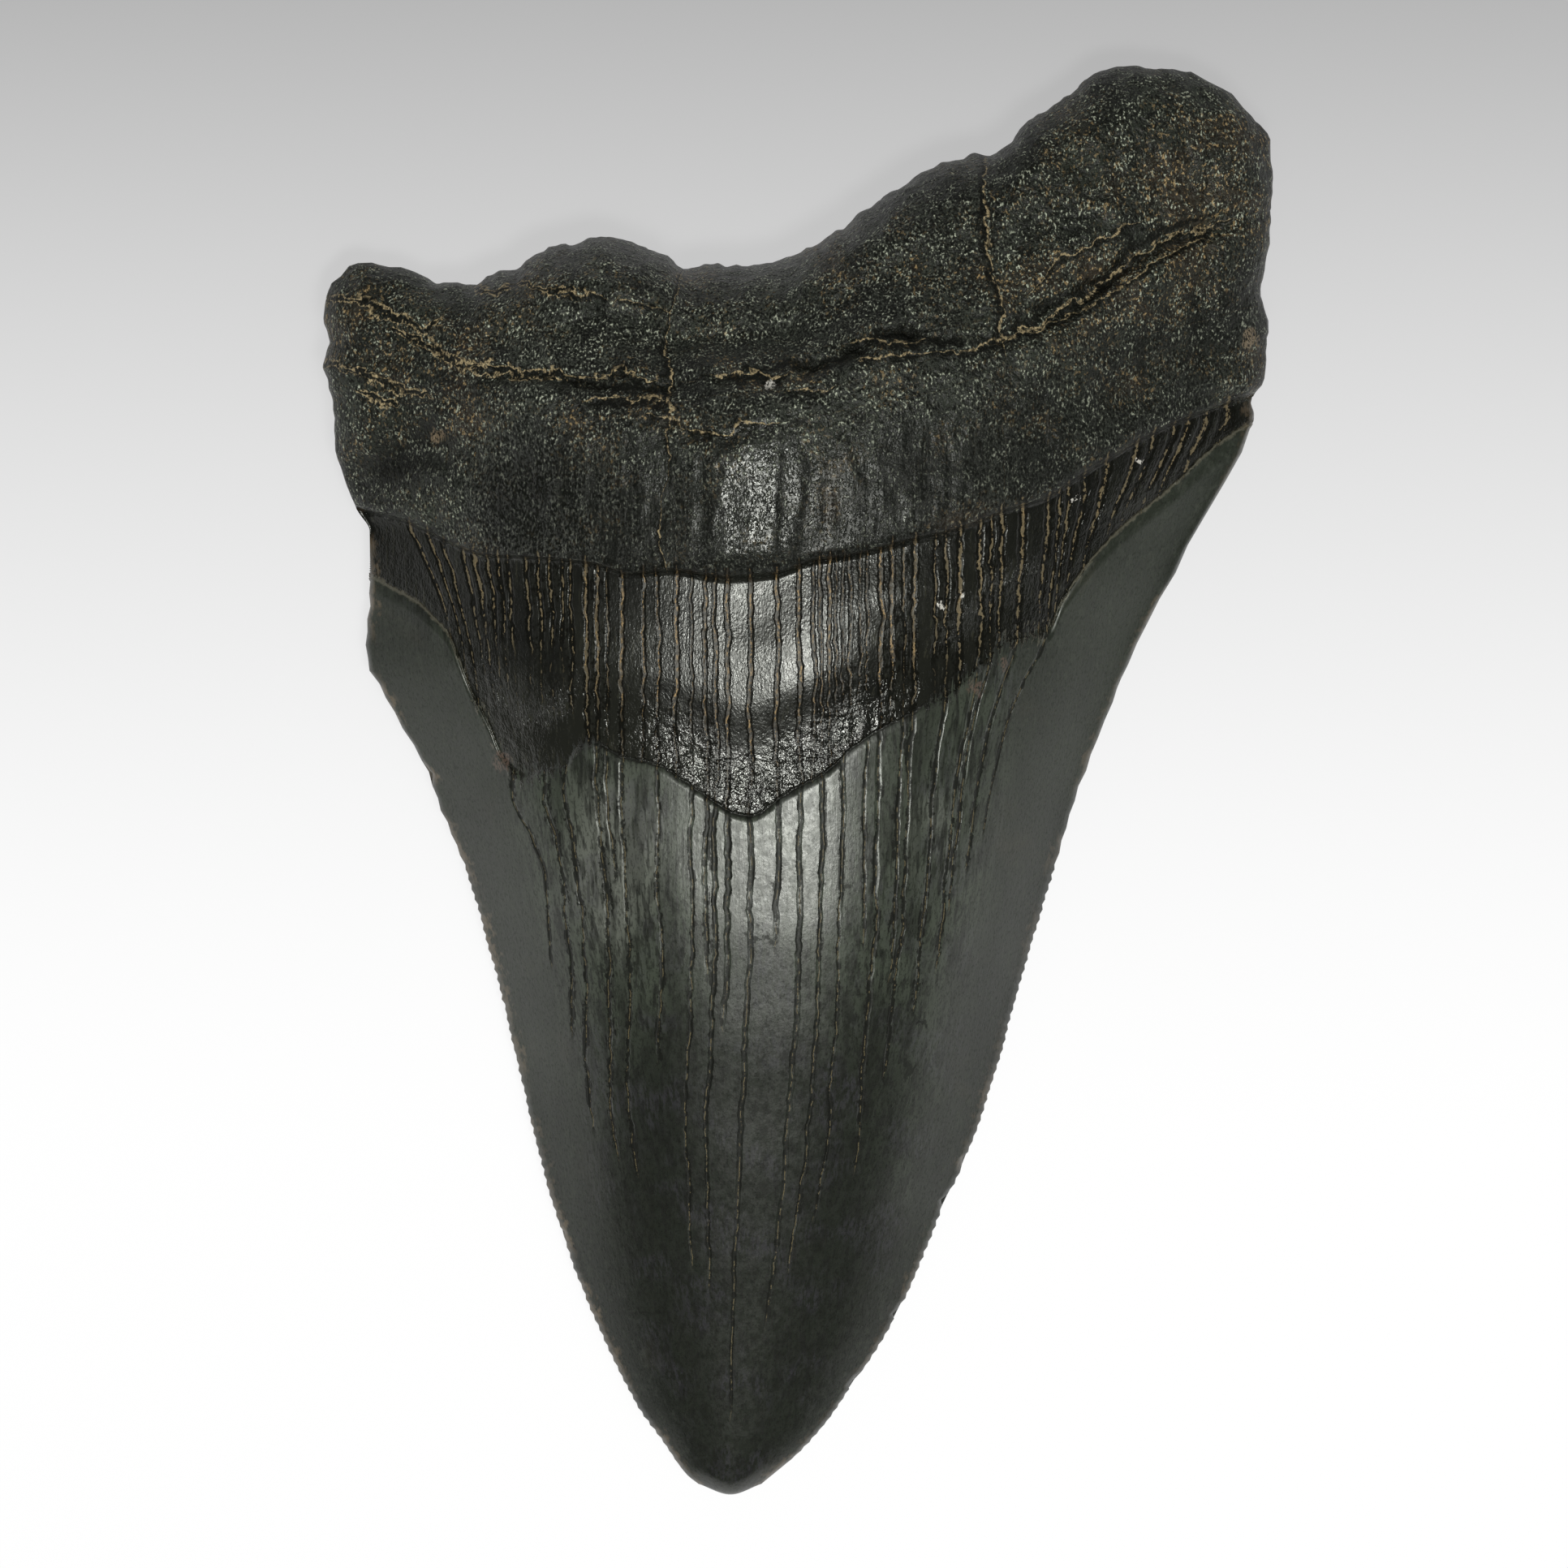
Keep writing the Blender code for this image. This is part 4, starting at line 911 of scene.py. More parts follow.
def build_labial(mesh):
    """The lower grid, a little inside the outline, with flats where the tooth rests."""
    face = Face(LABIAL_SECTIONS, (LABIAL_BEVEL, LABIAL_ROOT_ROUNDING), 0.0)
    flank_shares = [(1.0 - LABIAL_INSET) * j / LABIAL_FLANK for j in range(1, LABIAL_FLANK + 1)]
    right = [j / LABIAL_COLUMNS for j in range(LABIAL_COLUMNS + 1)]
    right += [1.0 + math.cos(math.pi / 2.0 * (1.0 - share)) for share in flank_shares]
    places = np.array([-c for c in reversed(right[1:])] + right)
    rows = face.row_stations()
    rows[0] += LABIAL_INSET * (rows[1] - rows[0])
    rows[-1] -= LABIAL_INSET * (rows[-1] - rows[-2])
    column, row, verts = laid_grid(mesh, places, rows)
    station = rows[row]
    x, y, across, round_off = face.place(places[column], station)
    surface = face.height(across, station)
    for pad in LOBE_PADS:
        surface -= spot(x, y, pad)
    above_border = y - labial_border(x)
    on_root = ramp(above_border, 0.0, 1.0)
    surface += on_root * (0.3 * uneven(x, y, 5.0, 5.0, 90.0) + 0.12 * uneven(x, y, 1.2, 2.0, 93.0))
    surface += (1.0 - on_root) * 0.05 * uneven(x, y, 1.6, 14.0, 96.0)
    surface = np.maximum(surface, 0.0)
    base = outline_height(station)
    z = base - (base - surface) * round_off
    moved_x, moved_y = roughen_outline(x, y, station)
    move(verts, moved_x, moved_y, z)
    from_edge = np.minimum(x - left_edge(y), right_edge(y) - x)
    marks = dict.fromkeys(MARKS, np.full(len(x), 9.0))
    marks |= dict.fromkeys(("above_lip", "above_ledge"), above_border)
    marks |= dict.fromkeys(("crack", "boss", "hollow", "blot"), 0.0 * x)
    marks |= {
        "from_edge": from_edge,
        "wing": 1.0 - ramp(from_edge, 3.0, 6.0),
        "tone": face_tone(x, y),
        "stain": face_stain(x, y),
        "plate": uneven(x, y, 1.3, 16.0, 99.0),
    }
    mark(mesh, verts, marks)
    return outer_edges(mesh, verts)


def set_size_and_place(mesh):
    """Gives the tooth its size, centred over the origin with its resting flats on z = 0."""
    spans = [(min(v.co[k] for v in mesh.verts), max(v.co[k] for v in mesh.verts)) for k in range(3)]
    (x0, x1), (y0, y1), (z0, z1) = spans
    bmesh.ops.translate(mesh, verts=mesh.verts, vec=(-(x0 + x1) / 2.0, -(y0 + y1) / 2.0, -z0))
    sizes = (TOOTH_WIDTH / (x1 - x0), TOOTH_LENGTH / (y1 - y0), TOOTH_THICKNESS / (z1 - z0))
    bmesh.ops.scale(mesh, vec=sizes, verts=mesh.verts)


def build_tooth():
    """Both faces, bridged along the outline, as one closed piece."""
    mesh = bmesh.new()
    for name in MARKS:
        mesh.verts.layers.float.new(name)
    rim = build_lingual(mesh)
    inner_rim = build_labial(mesh)
    bmesh.ops.bridge_loops(mesh, edges=rim + inner_rim)
    bmesh.ops.recalc_face_normals(mesh, faces=mesh.faces)
    set_size_and_place(mesh)
    bmesh.ops.scale(mesh, vec=(0.001, 0.001, 0.001), verts=mesh.verts)
    data = bpy.data.meshes.new("fossil_tooth")
    mesh.to_mesh(data)
    mesh.free()
    data.shade_smooth()
    tooth = bpy.data.objects.new("fossil_tooth", data)
    bpy.context.scene.collection.objects.link(tooth)
    return tooth


# =============================================================== finishes
def shade(red, green, blue):
    """A colour given as it looks on a screen, 0 to 255, as the shader wants it."""
    linear = []
    for level in (red, green, blue):
        level /= 255.0
        linear.append(level / 12.92 if level <= 0.04045 else ((level + 0.055) / 1.055) ** 2.4)
    return (*linear, 1.0)


# ---- colours of the root; a pair runs from dark to light
BONE = (shade(17, 20, 15), shade(56, 61, 51))
BONE_BY_LEDGE = shade(10, 12, 8)
DARK_BONE_GRAINS = shade(8, 9, 6)
# pale grains, which also stand in for painted glints
PALE_GRAINS_AND_GLINTS = shade(178, 184, 162)
TAN_BONE_GRAINS = shade(172, 148, 104)
BROWN_STAIN = shade(66, 55, 42)
# painted shade in the bone's creases and pits
CREASE_AND_PIT_SHADE = shade(7, 8, 5)
# painted shade in the hollows between the bone's lumps
HOLLOW_SHADE = shade(9, 10, 7)
BONE_STRIAE = shade(9, 11, 7)
# painted shade in the crevices beside the veins and along the fold
VEIN_SHADOW = shade(11, 12, 8)
VEIN_STONE = (shade(80, 72, 54), shade(184, 166, 126))
# ---- colours of the band, the painted shade in its cracks' gutters, their fillings, and the lip under it
BAND_GLOSS = (shade(9, 10, 7), shade(22, 23, 17))
BAND_STREAKS = shade(80, 80, 64)
GUTTER_SHADE = shade(12, 12, 8)
FILLING = (shade(48, 40, 27), shade(160, 132, 86))
FILLING_GRAINS = shade(28, 24, 17)
PALE_FILLING = shade(150, 136, 102)
DARK_RIM = shade(20, 19, 17)
TAN_SEAM = shade(112, 108, 92)
# ---- colours of the crown and its cracks
ENAMEL = (shade(26, 30, 23), shade(60, 66, 55))
# enamel lighter where the tone is highest
LIGHTER_ENAMEL = shade(106, 109, 100)
PURPLISH_ENAMEL = shade(60, 56, 66)
DARK_PLATES = shade(28, 31, 24)
DARK_BARS = shade(16, 18, 13)
DARK_THREADS = shade(18, 19, 16)
DARK_STREAKS = shade(17, 19, 14)
DARK_GRAINS = shade(20, 21, 18)
CRACK_BED = shade(15, 16, 12)
CRACK_THREAD = shade(124, 112, 80)
# ---- colours of the wings, the cutting edges and the specks, whose pale ones are painted glints
WING_ENAMEL = (shade(18, 22, 16), shade(35, 40, 31))
WING_STAIN = shade(66, 62, 50)
WING_CLOUDS = shade(64, 69, 58)
WING_BLACK = shade(14, 15, 11)
EDGE_FRINGE = shade(112, 98, 78)
PINKISH = shade(92, 76, 66)
# the pale specks' colour: painted glints
GLINT_WHITE = shade(225, 222, 210)
SANDY = shade(138, 122, 98)
# ---- colours that are already as the shader wants them: the tooth's shine, and the floor's
SHINE_TINT = (0.98, 1.0, 0.92, 1.0)
BLACK = (0.0, 0.0, 0.0, 1.0)
WHITE = (1.0, 1.0, 1.0, 1.0)
DIM_WHITE = (0.12, 0.12, 0.12, 1.0)


class Finish:
    """A material being mixed: short names for the nodes that it is made of."""

    def __init__(self, name):
        self.material = bpy.data.materials.new(name)
        self.material.use_nodes = True
        self.tree = self.material.node_tree
        self.shader = self.tree.nodes["Principled BSDF"]
        self.places = {}

    def node(self, kind, **settings):
        made = self.tree.nodes.new(kind)
        for name, value in settings.items():
            setattr(made, name, value)
        return made

    def feed(self, inputs, values):
        """Links or sets each of a node's inputs, by its name or number."""
        for name, value in values.items():
            if isinstance(value, bpy.types.NodeSocket):
                self.tree.links.new(value, inputs[name])
            else:
                inputs[name].default_value = value

    def millimetres(self, stretch=(1.0, 1.0, 1.0)):
        """The piece's own coordinates in millimetres, squeezed along each axis."""
        if stretch not in self.places:
            source = self.node("ShaderNodeTexCoord")
            mapping = self.node("ShaderNodeMapping")
            scale = tuple(1000.0 * part for part in stretch)
            self.feed(mapping.inputs, {"Vector": source.outputs["Object"], "Scale": scale})
            self.places[stretch] = mapping.outputs["Vector"]
        return self.places[stretch]

    def axes(self):
        """The piece's own x, y and z in millimetres."""
        separate = self.node("ShaderNodeSeparateXYZ")
        self.feed(separate.inputs, {"Vector": self.millimetres()})
        return separate.outputs[:]

    def mark(self, name):
        return self.node("ShaderNodeAttribute", attribute_name=name).outputs["Fac"]

    def noise(self, scale, stretch, detail, roughness, distortion=0.0):
        made = self.node("ShaderNodeTexNoise")
        grain = {"Scale": scale, "Detail": detail, "Roughness": roughness, "Distortion": distortion}
        self.feed(made.inputs, {"Vector": self.millimetres(stretch), **grain})
        return made.outputs[0]

    def math(self, operation, value, *others):
        """One operation on a value and each of the others in turn."""
        for other in others:
            made = self.node("ShaderNodeMath", operation=operation)
            self.feed(made.inputs, {0: value, 1: other})
            value = made.outputs[0]
        return value

    def plus(self, *values):
        return self.math("ADD", *values)

    def minus(self, first, second):
        return self.math("SUBTRACT", first, second)

    def times(self, *values):
        return self.math("MULTIPLY", *values)

    def most(self, *values):
        return self.math("MAXIMUM", *values)

    def least(self, *values):
        return self.math("MINIMUM", *values)

    def unsigned(self, value):
        return self.math("ABSOLUTE", value, 0.0)

    def ramp(self, value, start, end, low=0.0, high=1.0):
        """low before start, high after end and smooth between them; start may be the larger."""
        made = self.node("ShaderNodeMapRange", interpolation_type="SMOOTHSTEP")
        if start > end:
            start, end, low, high = end, start, high, low
        limits = {"From Min": start, "From Max": end, "To Min": low, "To Max": high}
        self.feed(made.inputs, {"Value": value, **limits})
        return made.outputs[0]

    def near(self, x, y, size, stray):
        """1 within size of a place seen from above and 0 further off, with a stray edge."""
        away = self.node("ShaderNodeVectorMath", operation="DISTANCE")
        self.feed(away.inputs, {0: self.millimetres((1.0, 1.0, 0.0)), 1: (x, y, 0.0)})
        return self.ramp(self.plus(away.outputs["Value"], stray), size, 0.5 * size)

    def creases(self, value):
        """Thin wandering lines where a noise passes its middle."""
        return self.ramp(self.unsigned(self.minus(value, 0.5)), 0.035, 0.005)

    def over(self, below, above, share):
        """One colour laid over another."""
        made = self.node("ShaderNodeMix", data_type="RGBA")
        self.feed(made.inputs, {0: share, 6: below, 7: above})
        return made.outputs[2]

    def level(self, below, above, share):
        """One number laid over another."""
        made = self.node("ShaderNodeMix", data_type="FLOAT")
        self.feed(made.inputs, {0: share, 2: below, 3: above})
        return made.outputs[0]


class ToothFinish(Finish):
    """The whole tooth's finish: its parts, the seams between them, and what fills its cracks."""

    def __init__(self):
        super().__init__("fossil tooth")
        self.grain = self.noise(5.2, (1.0, 0.6, 1.0), detail=2.0, roughness=0.6)
        self.flecks = self.noise(3.2, (1.0, 0.75, 1.0), detail=2.0, roughness=0.65)
        self.streaks = self.noise(3.4, (1.0, 0.07, 1.0), detail=3.0, roughness=0.6)
        self.bars = self.noise(1.1, (1.0, 0.1, 1.0), detail=3.0, roughness=0.65)
        self.threads = self.noise(1.9, (1.0, 0.06, 1.0), detail=2.0, roughness=0.6)
        self.ragged = self.noise(1.5, (1.0, 0.8, 1.0), detail=3.0, roughness=0.6)
        self.wrinkle = self.noise(0.85, (0.75, 1.0, 1.0), detail=3.0, roughness=0.5, distortion=0.6)
        self.fray = self.ramp(self.ragged, 0.3, 0.7, -1.0, 1.0)
        self.fine_fray = self.ramp(self.grain, 0.35, 0.65, -1.0, 1.0)
        self.tone = self.mark("tone")
        self.stain = self.mark("stain")
        self.across, self.up, _ = self.axes()
        self.off_middle = self.unsigned(self.plus(self.across, -MIDDLE_LINE))
        self.find_parts()
        self.crack = self.mark("crack")
        self.off_crack = self.mark("off_crack")
        self.cracked = self.ramp(self.crack, 0.04, 0.2)
        self.crack_bed = self.find_crack_bed()
        self.gutter, self.filling = self.find_band_cracks()
        self.vein, self.crevice_shade = self.find_veins()
        self.feed(self.shader.inputs, {
            "Base Color": self.colour(),
            "Roughness": self.roughness(),
            "IOR": 1.5,
            "Specular IOR Level": self.reflection(),
            "Specular Tint": SHINE_TINT,
            "Normal": self.fine_relief(),
        })

    def find_parts(self):
        """How far each place is root, band, crown and wing, with frayed seams between them."""
        streak_fray = self.ramp(self.streaks, 0.35, 0.65, -1.0, 1.0)
        loose = self.times(self.ramp(self.off_middle, 12.0, 17.0), self.ramp(self.off_middle, 27.0, 22.0))
        strays = self.times(self.fray, 0.12), self.times(streak_fray, loose, 1.1)
        self.above_lip = self.plus(self.mark("above_lip"), *strays)
        above_ledge = self.plus(self.mark("above_ledge"), self.times(self.fray, 0.3))
        self.root = self.ramp(above_ledge, -0.1, 0.35)
        self.band = self.ramp(self.above_lip, -0.1, 0.2)
        self.crown = self.minus(1.0, self.band)
        self.wing = self.mark("wing")
        self.boss = self.mark("boss")
        self.hollow = self.mark("hollow")
        sides = self.ramp(self.across, -31.0, -24.0), self.ramp(self.across, 28.0, 10.0, 0.5, 1.0)
        self.lower_root = self.times(self.ramp(above_ledge, 13.5, 6.5), *sides)

    def find_crack_bed(self):
        """The crown's cracks and blots, ragged and uneven."""
        gap = self.plus(self.off_crack, self.times(self.fray, 0.1), self.times(self.fine_fray, 0.06))
        gap = self.minus(gap, self.ramp(self.bars, 0.46, 0.6, 0.0, 0.16))
        gap = self.plus(gap, self.ramp(self.crack, 0.8, 0.1, -0.03, 0.03))
        blot = self.plus(self.mark("blot"), self.times(self.fray, 0.35))
        bed = self.times(self.ramp(gap, 0.13, 0.04), self.cracked)
        return self.most(bed, self.times(self.ramp(blot, 0.45, 0.7), 0.8))

    def find_band_cracks(self):
        """The band's cracks: a gutter on each side, and the filling between them."""
        strays = self.times(self.fray, 0.45), self.times(self.fine_fray, 0.25)
        crack_share = self.plus(self.mark("crack_share"), *strays)
        gutter = self.times(self.ramp(crack_share, 1.9, 1.4), self.cracked, self.band)
        outwards = self.ramp(self.off_middle, 8.0, 18.0, 0.8, 0.5)
        to_the_right = self.ramp(self.across, 14.0, 26.0, 1.0, 0.6)
        inside = self.minus(self.times(self.crack, outwards, to_the_right), crack_share)
        return gutter, self.times(self.ramp(inside, -0.12, 0.12), self.cracked, self.band)

    def find_veins(self):
        """The root's veins and cracks, each vein with a second strand, and the crevices by them, which
        carry painted shade.
        """
        wiggle = self.plus(self.ramp(self.wrinkle, 0.3, 0.7, -0.35, 0.35), self.times(self.fray, 0.08))
        single = self.ramp(self.across, -22.0, -12.0, 0.0, 0.4)
        lines = []
        crevices = [self.plus(self.unsigned(self.mark("shaded_fold_line")), self.times(self.fray, 0.25))]
        for name in (*VEIN_MARKS, *ROOT_CRACK_MARKS):
            off = self.plus(self.mark(name), wiggle)
            crevices.append(self.unsigned(self.plus(off, 0.32)))
            line = self.unsigned(off)
            if name in VEIN_MARKS:
                strand = self.unsigned(self.plus(off, self.times(self.fray, 0.15), 0.7))
                line = self.least(line, self.plus(strand, single))
            lines.append(line)
        nearest = self.plus(self.least(*lines), self.ramp(self.flecks, 0.35, 0.65, 0.1, -0.08))
        vein = self.times(self.ramp(nearest, 0.17, 0.04), self.ramp(self.ragged, 0.36, 0.48, 0.25, 1.0))
        crevice_shade = self.plus(self.least(*crevices), self.times(self.fray, 0.2))
        return vein, self.ramp(crevice_shade, 0.75, 0.3)

    def root_colour(self):
        """Dark green-black bone with pale grains that partly stand in for painted glints, painted shade in
        its creases and hollows, dark striae, and tan staining.
        """
        tone, stain, lower = self.tone, self.stain, self.lower_root
        colour = self.over(*BONE, self.ramp(tone, -0.5, 0.7))
        colour = self.over(colour, BONE_BY_LEDGE, self.times(lower, 0.75))
        colour = self.over(DARK_BONE_GRAINS, colour, self.ramp(self.grain, 0.38, 0.52))
        colour = self.over(colour, BROWN_STAIN, self.times(self.ramp(stain, 0.2, 0.9), 0.4))
        clumps = self.ramp(self.wrinkle, 0.36, 0.56)
        share = self.level(self.ramp(tone, -0.8, 0.4, 0.75, 1.0), 0.25, lower)
        # pale grains, partly painted glints
        pale = self.times(self.ramp(self.grain, 0.56, 0.66), clumps, share)
        colour = self.over(colour, PALE_GRAINS_AND_GLINTS, pale)
        tan = self.times(self.ramp(self.flecks, 0.57, 0.66), self.ramp(stain, -0.2, 0.7))
        colour = self.over(colour, TAN_BONE_GRAINS, self.times(tan, self.level(0.75, 0.25, lower)))
        # painted shade along the creases and in the hollows
        creases = self.times(self.creases(self.wrinkle), self.level(0.75, 0.3, lower))
        colour = self.over(colour, CREASE_AND_PIT_SHADE, creases)
        hollows = self.times(self.ramp(self.ragged, 0.47, 0.36), self.level(0.6, 0.3, lower))
        colour = self.over(colour, HOLLOW_SHADE, hollows)
        striae = self.times(self.ramp(self.streaks, 0.5, 0.62), lower)
        return self.over(colour, BONE_STRIAE, self.times(striae, 0.6))

    def band_colour(self):
        """Near-black brown gloss with fine grey streaks."""
        colour = self.over(*BAND_GLOSS, self.ramp(self.tone, -0.5, 0.6))
        return self.over(colour, BAND_STREAKS, self.times(self.ramp(self.streaks, 0.56, 0.72), 0.2))

    def crown_colour(self):
        """Grey enamel in plates of slightly different greys, with purplish patches and dark bars."""
        colour = self.over(*ENAMEL, self.ramp(self.tone, -1.2, 0.8))
        colour = self.over(colour, LIGHTER_ENAMEL, self.ramp(self.tone, 0.7, 1.9, 0.0, 0.8))
        patches = self.times(self.ramp(self.stain, -0.1, 0.4), self.ramp(self.streaks, 0.56, 0.46), 0.3)
        colour = self.over(colour, PURPLISH_ENAMEL, patches)
        plates = self.ramp(self.mark("plate"), 0.0, 0.45)
        colour = self.over(colour, DARK_PLATES, self.times(plates, 0.5))
        colour = self.over(colour, DARK_BARS, self.times(self.ramp(self.bars, 0.49, 0.6), 0.5))
        colour = self.over(colour, DARK_THREADS, self.times(self.ramp(self.threads, 0.54, 0.62), 0.65))
        colour = self.over(colour, DARK_STREAKS, self.times(self.ramp(self.streaks, 0.52, 0.62), 0.6))
        return self.over(colour, DARK_GRAINS, self.times(self.ramp(self.grain, 0.46, 0.36), 0.4))

    def wing_colour(self):
        """Smooth grey-green enamel with a few dark specks."""
        colour = self.over(*WING_ENAMEL, self.ramp(self.tone, -1.0, 0.6))
        colour = self.over(colour, WING_STAIN, self.times(self.ramp(self.stain, 0.2, 0.9), 0.25))
        colour = self.over(colour, WING_CLOUDS, self.times(self.ramp(self.ragged, 0.48, 0.7), 0.3))
        return self.over(colour, WING_BLACK, self.times(self.ramp(self.flecks, 0.4, 0.32), 0.7))

    def with_lip(self, colour):
        """The enamel's lip: a dark rim in the middle, a tan seam out on the wings."""
        rim = self.ramp(self.unsigned(self.plus(self.above_lip, 0.05)), 0.28, 0.08)
        on_wing = self.ramp(self.off_middle, 19.0, 23.0)
        rim_colour = self.over(DARK_RIM, TAN_SEAM, on_wing)
        return self.over(colour, rim_colour, self.times(rim, self.level(0.75, 0.45, on_wing)))

    def with_crown_cracks(self, colour):
        """Dark cracks down the crown, with a broken pale thread inside."""
        colour = self.over(colour, CRACK_BED, self.times(self.crack_bed, self.crown, 0.85))
        thread = self.ramp(self.plus(self.off_crack, self.times(self.fray, 0.04)), 0.075, 0.03)
        broken = self.ramp(self.ragged, 0.48, 0.56)
        thread = self.times(thread, self.cracked, broken, self.crown)
        return self.over(colour, CRACK_THREAD, self.times(thread, 0.6))

    def with_band_cracks(self, colour):
        """The band's cracks: painted shade in the gutters, and a tan filling that is paler to the sides."""
        # painted shade in the gutters beside each filling
        colour = self.over(colour, GUTTER_SHADE, self.times(self.gutter, 0.85))
        tan = self.over(*FILLING, self.ramp(self.ragged, 0.42, 0.58))
        tan = self.over(FILLING_GRAINS, tan, self.ramp(self.grain, 0.42, 0.52))
        tan = self.over(tan, PALE_FILLING, self.times(self.ramp(self.off_middle, 9.0, 18.0), 0.4))
        return self.over(colour, tan, self.times(self.filling, 0.9))

    def with_wing_crack(self, colour):
        """A faint crack across the left wing."""
        start, end, crack_y = WING_CRACK
        off = self.unsigned(self.plus(self.minus(self.up, crack_y), self.times(self.fray, 0.15)))
        starts = self.ramp(self.across, start, start + 1.5)
        along = self.times(starts, self.ramp(self.across, end, end - 1.5))
        return self.over(colour, WING_BLACK, self.times(self.ramp(off, 0.14, 0.05), along, 0.7))

    def with_fringe(self, colour):
        """A worn brown fringe on the left cutting edge, fainter on the right."""
        fringe = self.ramp(self.plus(self.mark("from_edge"), self.times(self.fray, 0.5)), 0.9, 0.1)
        fringe = self.times(fringe, self.ramp(self.root, 0.5, 0.0), self.ramp(self.stain, -0.5, 0.4))
        on_left = self.ramp(self.across, 0.0, -18.0)
        return self.over(colour, EDGE_FRINGE, self.times(fringe, self.level(0.3, 0.6, on_left)))

    def with_veins(self, colour):
        """Painted shade in the root's hollows, then its veins with painted shade in the crevices beside
        them.
        """
        # painted shade in the pits and the hollow, then in the crevices
        colour = self.over(colour, CREASE_AND_PIT_SHADE, self.times(self.hollow, self.root, 0.9))
        colour = self.over(colour, VEIN_SHADOW, self.times(self.crevice_shade, self.root, 0.85))
        vein_colour = self.over(*VEIN_STONE, self.ramp(self.grain, 0.36, 0.56))
        return self.over(colour, vein_colour, self.times(self.vein, self.root, 0.85))

    def with_specks(self, colour):
        """Pinkish and tan specks, and pale specks that are painted glints."""
        # the pale specks are painted glints
        for speck_colour, specks in ((PINKISH, PINK_SPECKS), (GLINT_WHITE, GLINT_SPECKS), (SANDY, TAN_SPECKS)):
            for x, y, size in specks:
                share = self.near(x, y, size, self.times(self.fray, 0.3))
                share = self.times(share, self.ramp(self.grain, 0.4, 0.52), 0.7)
                colour = self.over(colour, speck_colour, share)
        return colour

    def colour(self):
        """The parts' own colours laid over one another, then what marks them."""
        colour = self.over(self.crown_colour(), self.wing_colour(), self.wing)
        colour = self.over(colour, self.band_colour(), self.band)
        colour = self.over(self.with_lip(colour), self.root_colour(), self.root)
        colour = self.with_band_cracks(self.with_crown_cracks(colour))
        colour = self.with_fringe(self.with_wing_crack(colour))
        return self.with_specks(self.with_veins(colour))

    def roughness(self):
        """The band and the boss are glossiest, then crown and wings, and the root is dullest."""
        enamel = self.level(0.32, 0.38, self.wing)
        band = self.ramp(self.above_lip, 3.0, 6.5, 0.14, 0.25)
        root = self.level(self.level(0.45, 0.35, self.lower_root), 0.24, self.boss)
        rough = self.level(self.level(enamel, band, self.band), root, self.root)
        in_cracks = self.times(self.filling, 0.25), self.times(self.crack_bed, self.crown, 0.15)
        return self.plus(rough, *in_cracks, self.ramp(self.ragged, 0.35, 0.65, -0.04, 0.06))

    def reflection(self):
        """Full on open surfaces, and nearly none in cracks, crevices and hollows."""
        pitted = self.most(self.times(self.crack_bed, 0.62), self.ramp(self.grain, 0.46, 0.36, 0.0, 0.35))
        open_gutter = self.times(self.gutter, self.minus(1.0, self.filling))
        striae = self.times(self.ramp(self.streaks, 0.48, 0.6), self.lower_root)
        between_grains = self.most(self.ramp(self.grain, 0.52, 0.4), striae)
        between_grains = self.times(between_grains, self.level(0.6, 0.15, self.boss))
        in_root = self.most(between_grains, self.times(self.crevice_shade, 0.7), self.times(self.hollow, 0.8))
        dull = self.most(self.ramp(self.across, 6.0, 22.0), self.ramp(self.off_middle, 20.0, 29.0))
        in_cracks = self.times(pitted, self.crown), self.times(open_gutter, 0.7)
        deep = self.most(*in_cracks, self.times(in_root, self.root), self.times(dull, self.band, 0.5))
        return self.level(0.5, 0.05, deep)

    def fine_relief(self):
        """Grains and wrinkles on the root, leathery on the band, crumpled near the lip."""
        crumpled = self.plus(
            self.times(self.ragged, 0.16), self.times(self.wrinkle, 0.2), self.times(self.flecks, 0.05)
        )
        in_middle = self.ramp(self.off_middle, 8.0, 15.0, 1.0, 0.35)
        crumpled = self.times(crumpled, self.ramp(self.above_lip, 7.0, 3.0), in_middle)
        band = self.plus(self.times(self.streaks, 0.02), crumpled, self.times(self.grain, 0.04))
        crown = self.plus(self.times(self.streaks, 0.012), self.times(self.flecks, 0.012))
        pimples = self.times(self.ramp(self.grain, 0.48, 0.66), 0.07)
        rugged = self.plus(self.times(self.ragged, 0.26), self.times(self.wrinkle, 0.35))
        rugged = self.times(rugged, self.level(self.level(1.0, 0.25, self.lower_root), 0.3, self.boss))
        root = self.plus(pimples, rugged, self.times(self.streaks, self.lower_root, 0.03))
        height = self.level(self.level(crown, band, self.band), root, self.root)
        bump = self.node("ShaderNodeBump")
        self.feed(bump.inputs, {"Height": height, "Strength": 1.0, "Distance": 0.001})
        return bump.outputs["Normal"]


def floor_finish():
    """Pale paper with a soft painted glow that keeps it bright where shadows would fall, a little greyer
    behind the root as painted falloff of light.
    """
    finish = Finish("pale paper")
    _, up, _ = finish.axes()
    # painted light: the floor glows, and greys further back as painted falloff
    grey = finish.most(finish.ramp(up, *FLOOR_GREYS_BETWEEN, 1.0, FLOOR_FAR_GREY), FLOOR_LEAST_GREY)
    glow = {"Emission Color": finish.over(BLACK, WHITE, grey), "Emission Strength": FLOOR_GLOW}
    paper = {"Base Color": finish.over(BLACK, DIM_WHITE, grey), "Roughness": 0.9, "Specular IOR Level": 0.0}
    finish.feed(finish.shader.inputs, {**glow, **paper})
    return finish.material


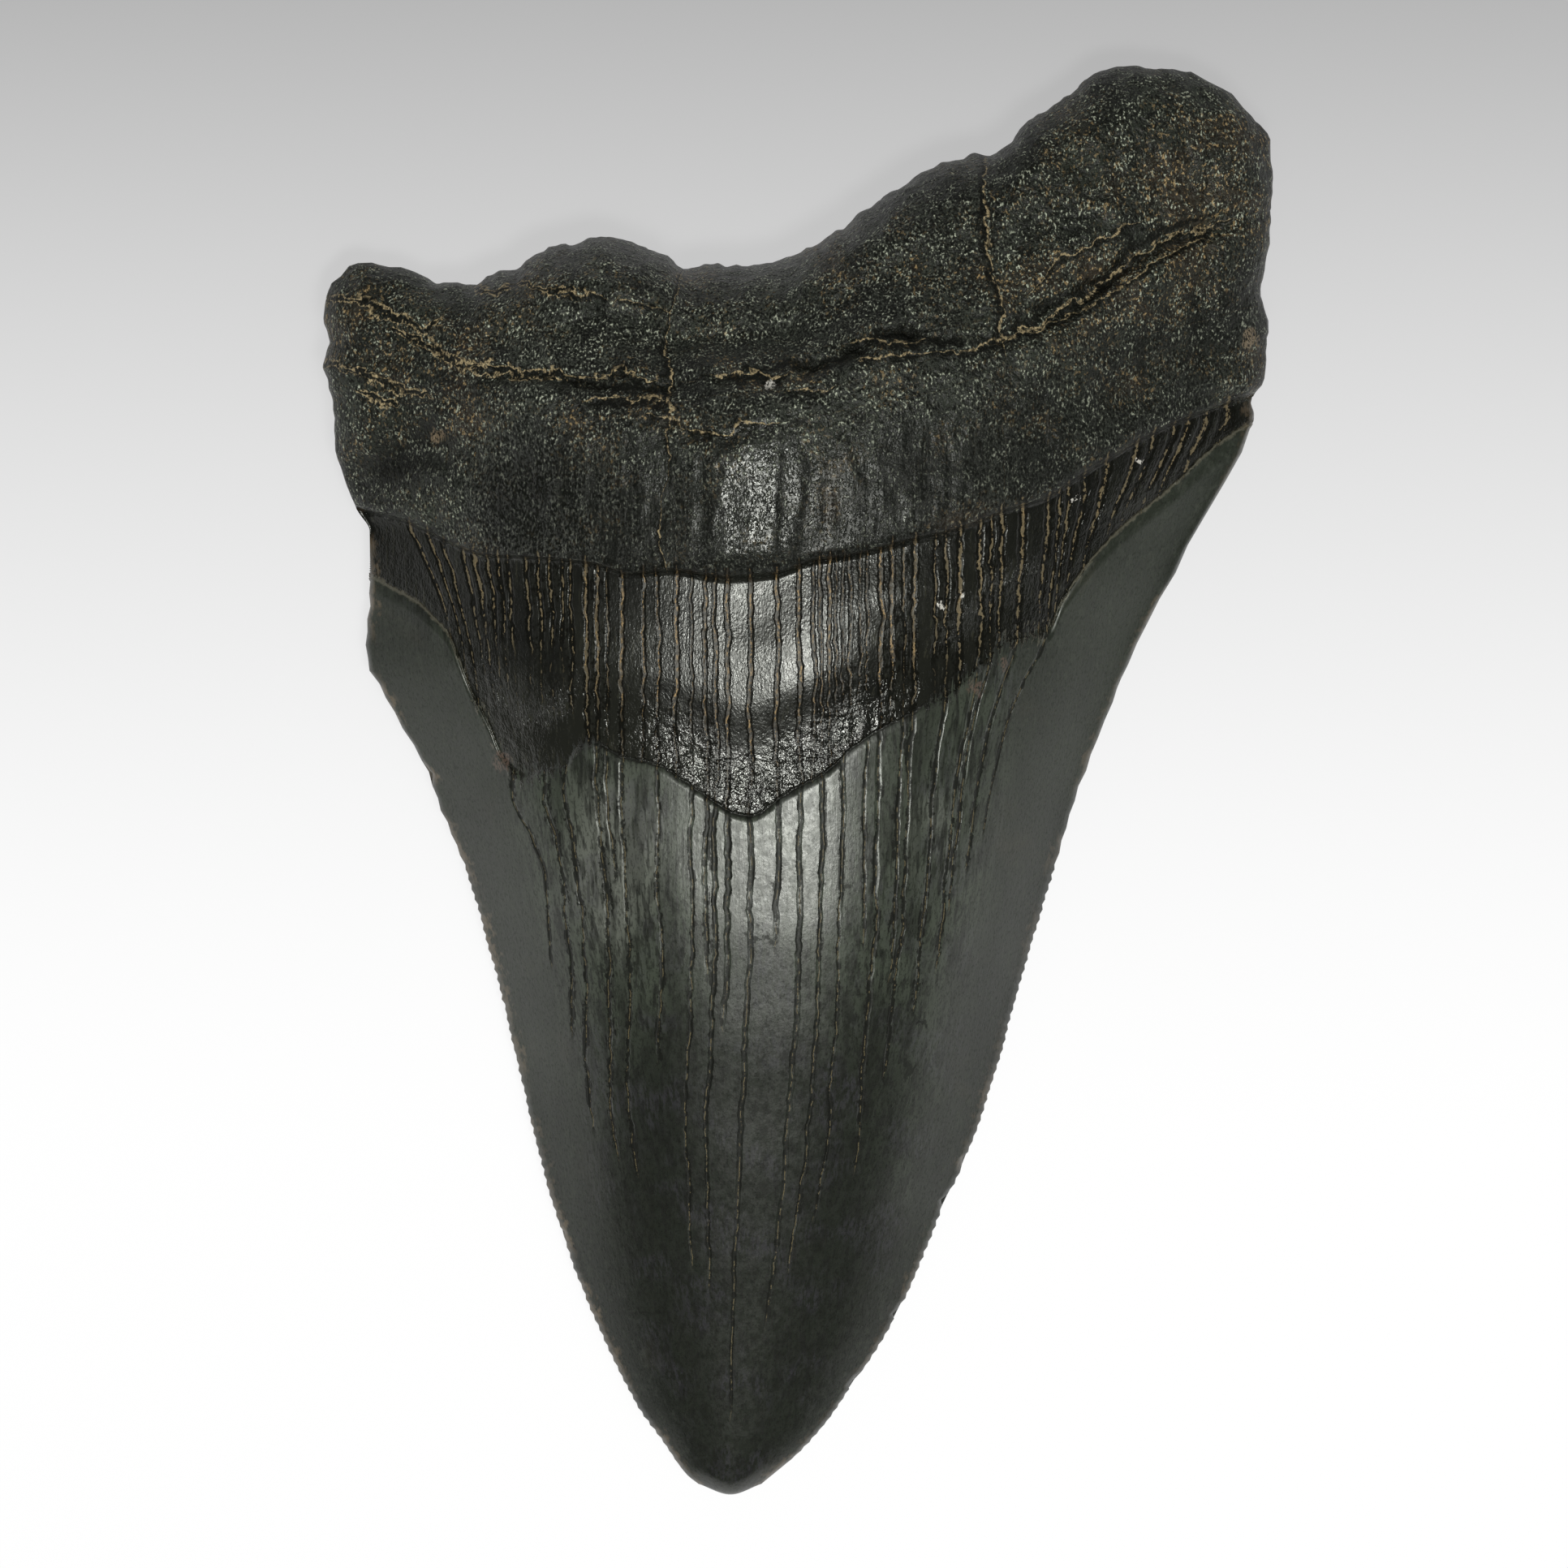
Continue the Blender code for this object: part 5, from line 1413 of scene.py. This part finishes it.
# =============================================================== floor, light and camera
def lay_floor():
    mesh = bmesh.new()
    bmesh.ops.create_grid(mesh, x_segments=1, y_segments=1, size=FLOOR_HALF_SIZE)
    data = bpy.data.meshes.new("paper_floor")
    mesh.to_mesh(data)
    mesh.free()
    floor = bpy.data.objects.new("paper_floor", data)
    floor.data.materials.append(floor_finish())
    bpy.context.scene.collection.objects.link(floor)


def soft_light(name, place, size, power):
    """A rectangular softbox that faces the tooth and stays out of the picture."""
    lamp = bpy.data.lights.new(name, "AREA")
    lamp.shape = "RECTANGLE"
    lamp.size, lamp.size_y = size
    lamp.energy = power
    holder = bpy.data.objects.new(name, lamp)
    holder.location = place
    holder.rotation_euler = (Vector(LIGHTS_FACE) - Vector(place)).to_track_quat("-Z", "Y").to_euler()
    holder.visible_camera = False
    bpy.context.scene.collection.objects.link(holder)


def light_studio():
    for size, power in OVERHEAD_LAYERS:
        soft_light("overhead_softbox", OVERHEAD_PLACE, size, power)
    soft_light("wide_softbox", WIDE_PLACE, WIDE_SIZE, WIDE_POWER)
    world = bpy.data.worlds.new("dim_studio")
    world.use_nodes = True
    world.node_tree.nodes["Background"].inputs["Color"].default_value = WHITE
    world.node_tree.nodes["Background"].inputs["Strength"].default_value = STUDIO_GLOW
    bpy.context.scene.world = world


def set_camera():
    """Straight down on the tooth, far off with a long lens, root at the top."""
    data = bpy.data.cameras.new("camera")
    data.sensor_width = SENSOR_WIDTH
    data.lens = LENS_LENGTH
    data.clip_end = 10.0
    camera = bpy.data.objects.new("camera", data)
    distance = LENS_LENGTH * PICTURE_WIDTH / SENSOR_WIDTH
    camera.location = (CAMERA_AIM + Vector((0.0, 0.0, distance))) * 0.001
    camera.rotation_euler = (0.0, 0.0, 0.0)
    bpy.context.scene.collection.objects.link(camera)
    bpy.context.scene.camera = camera
    bpy.context.scene.view_settings.view_transform = "Standard"


def main():
    tooth = build_tooth()
    tooth.data.materials.append(ToothFinish().material)
    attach(tooth, "root")
    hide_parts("tooth")
    lay_floor()
    light_studio()
    set_camera()


main()
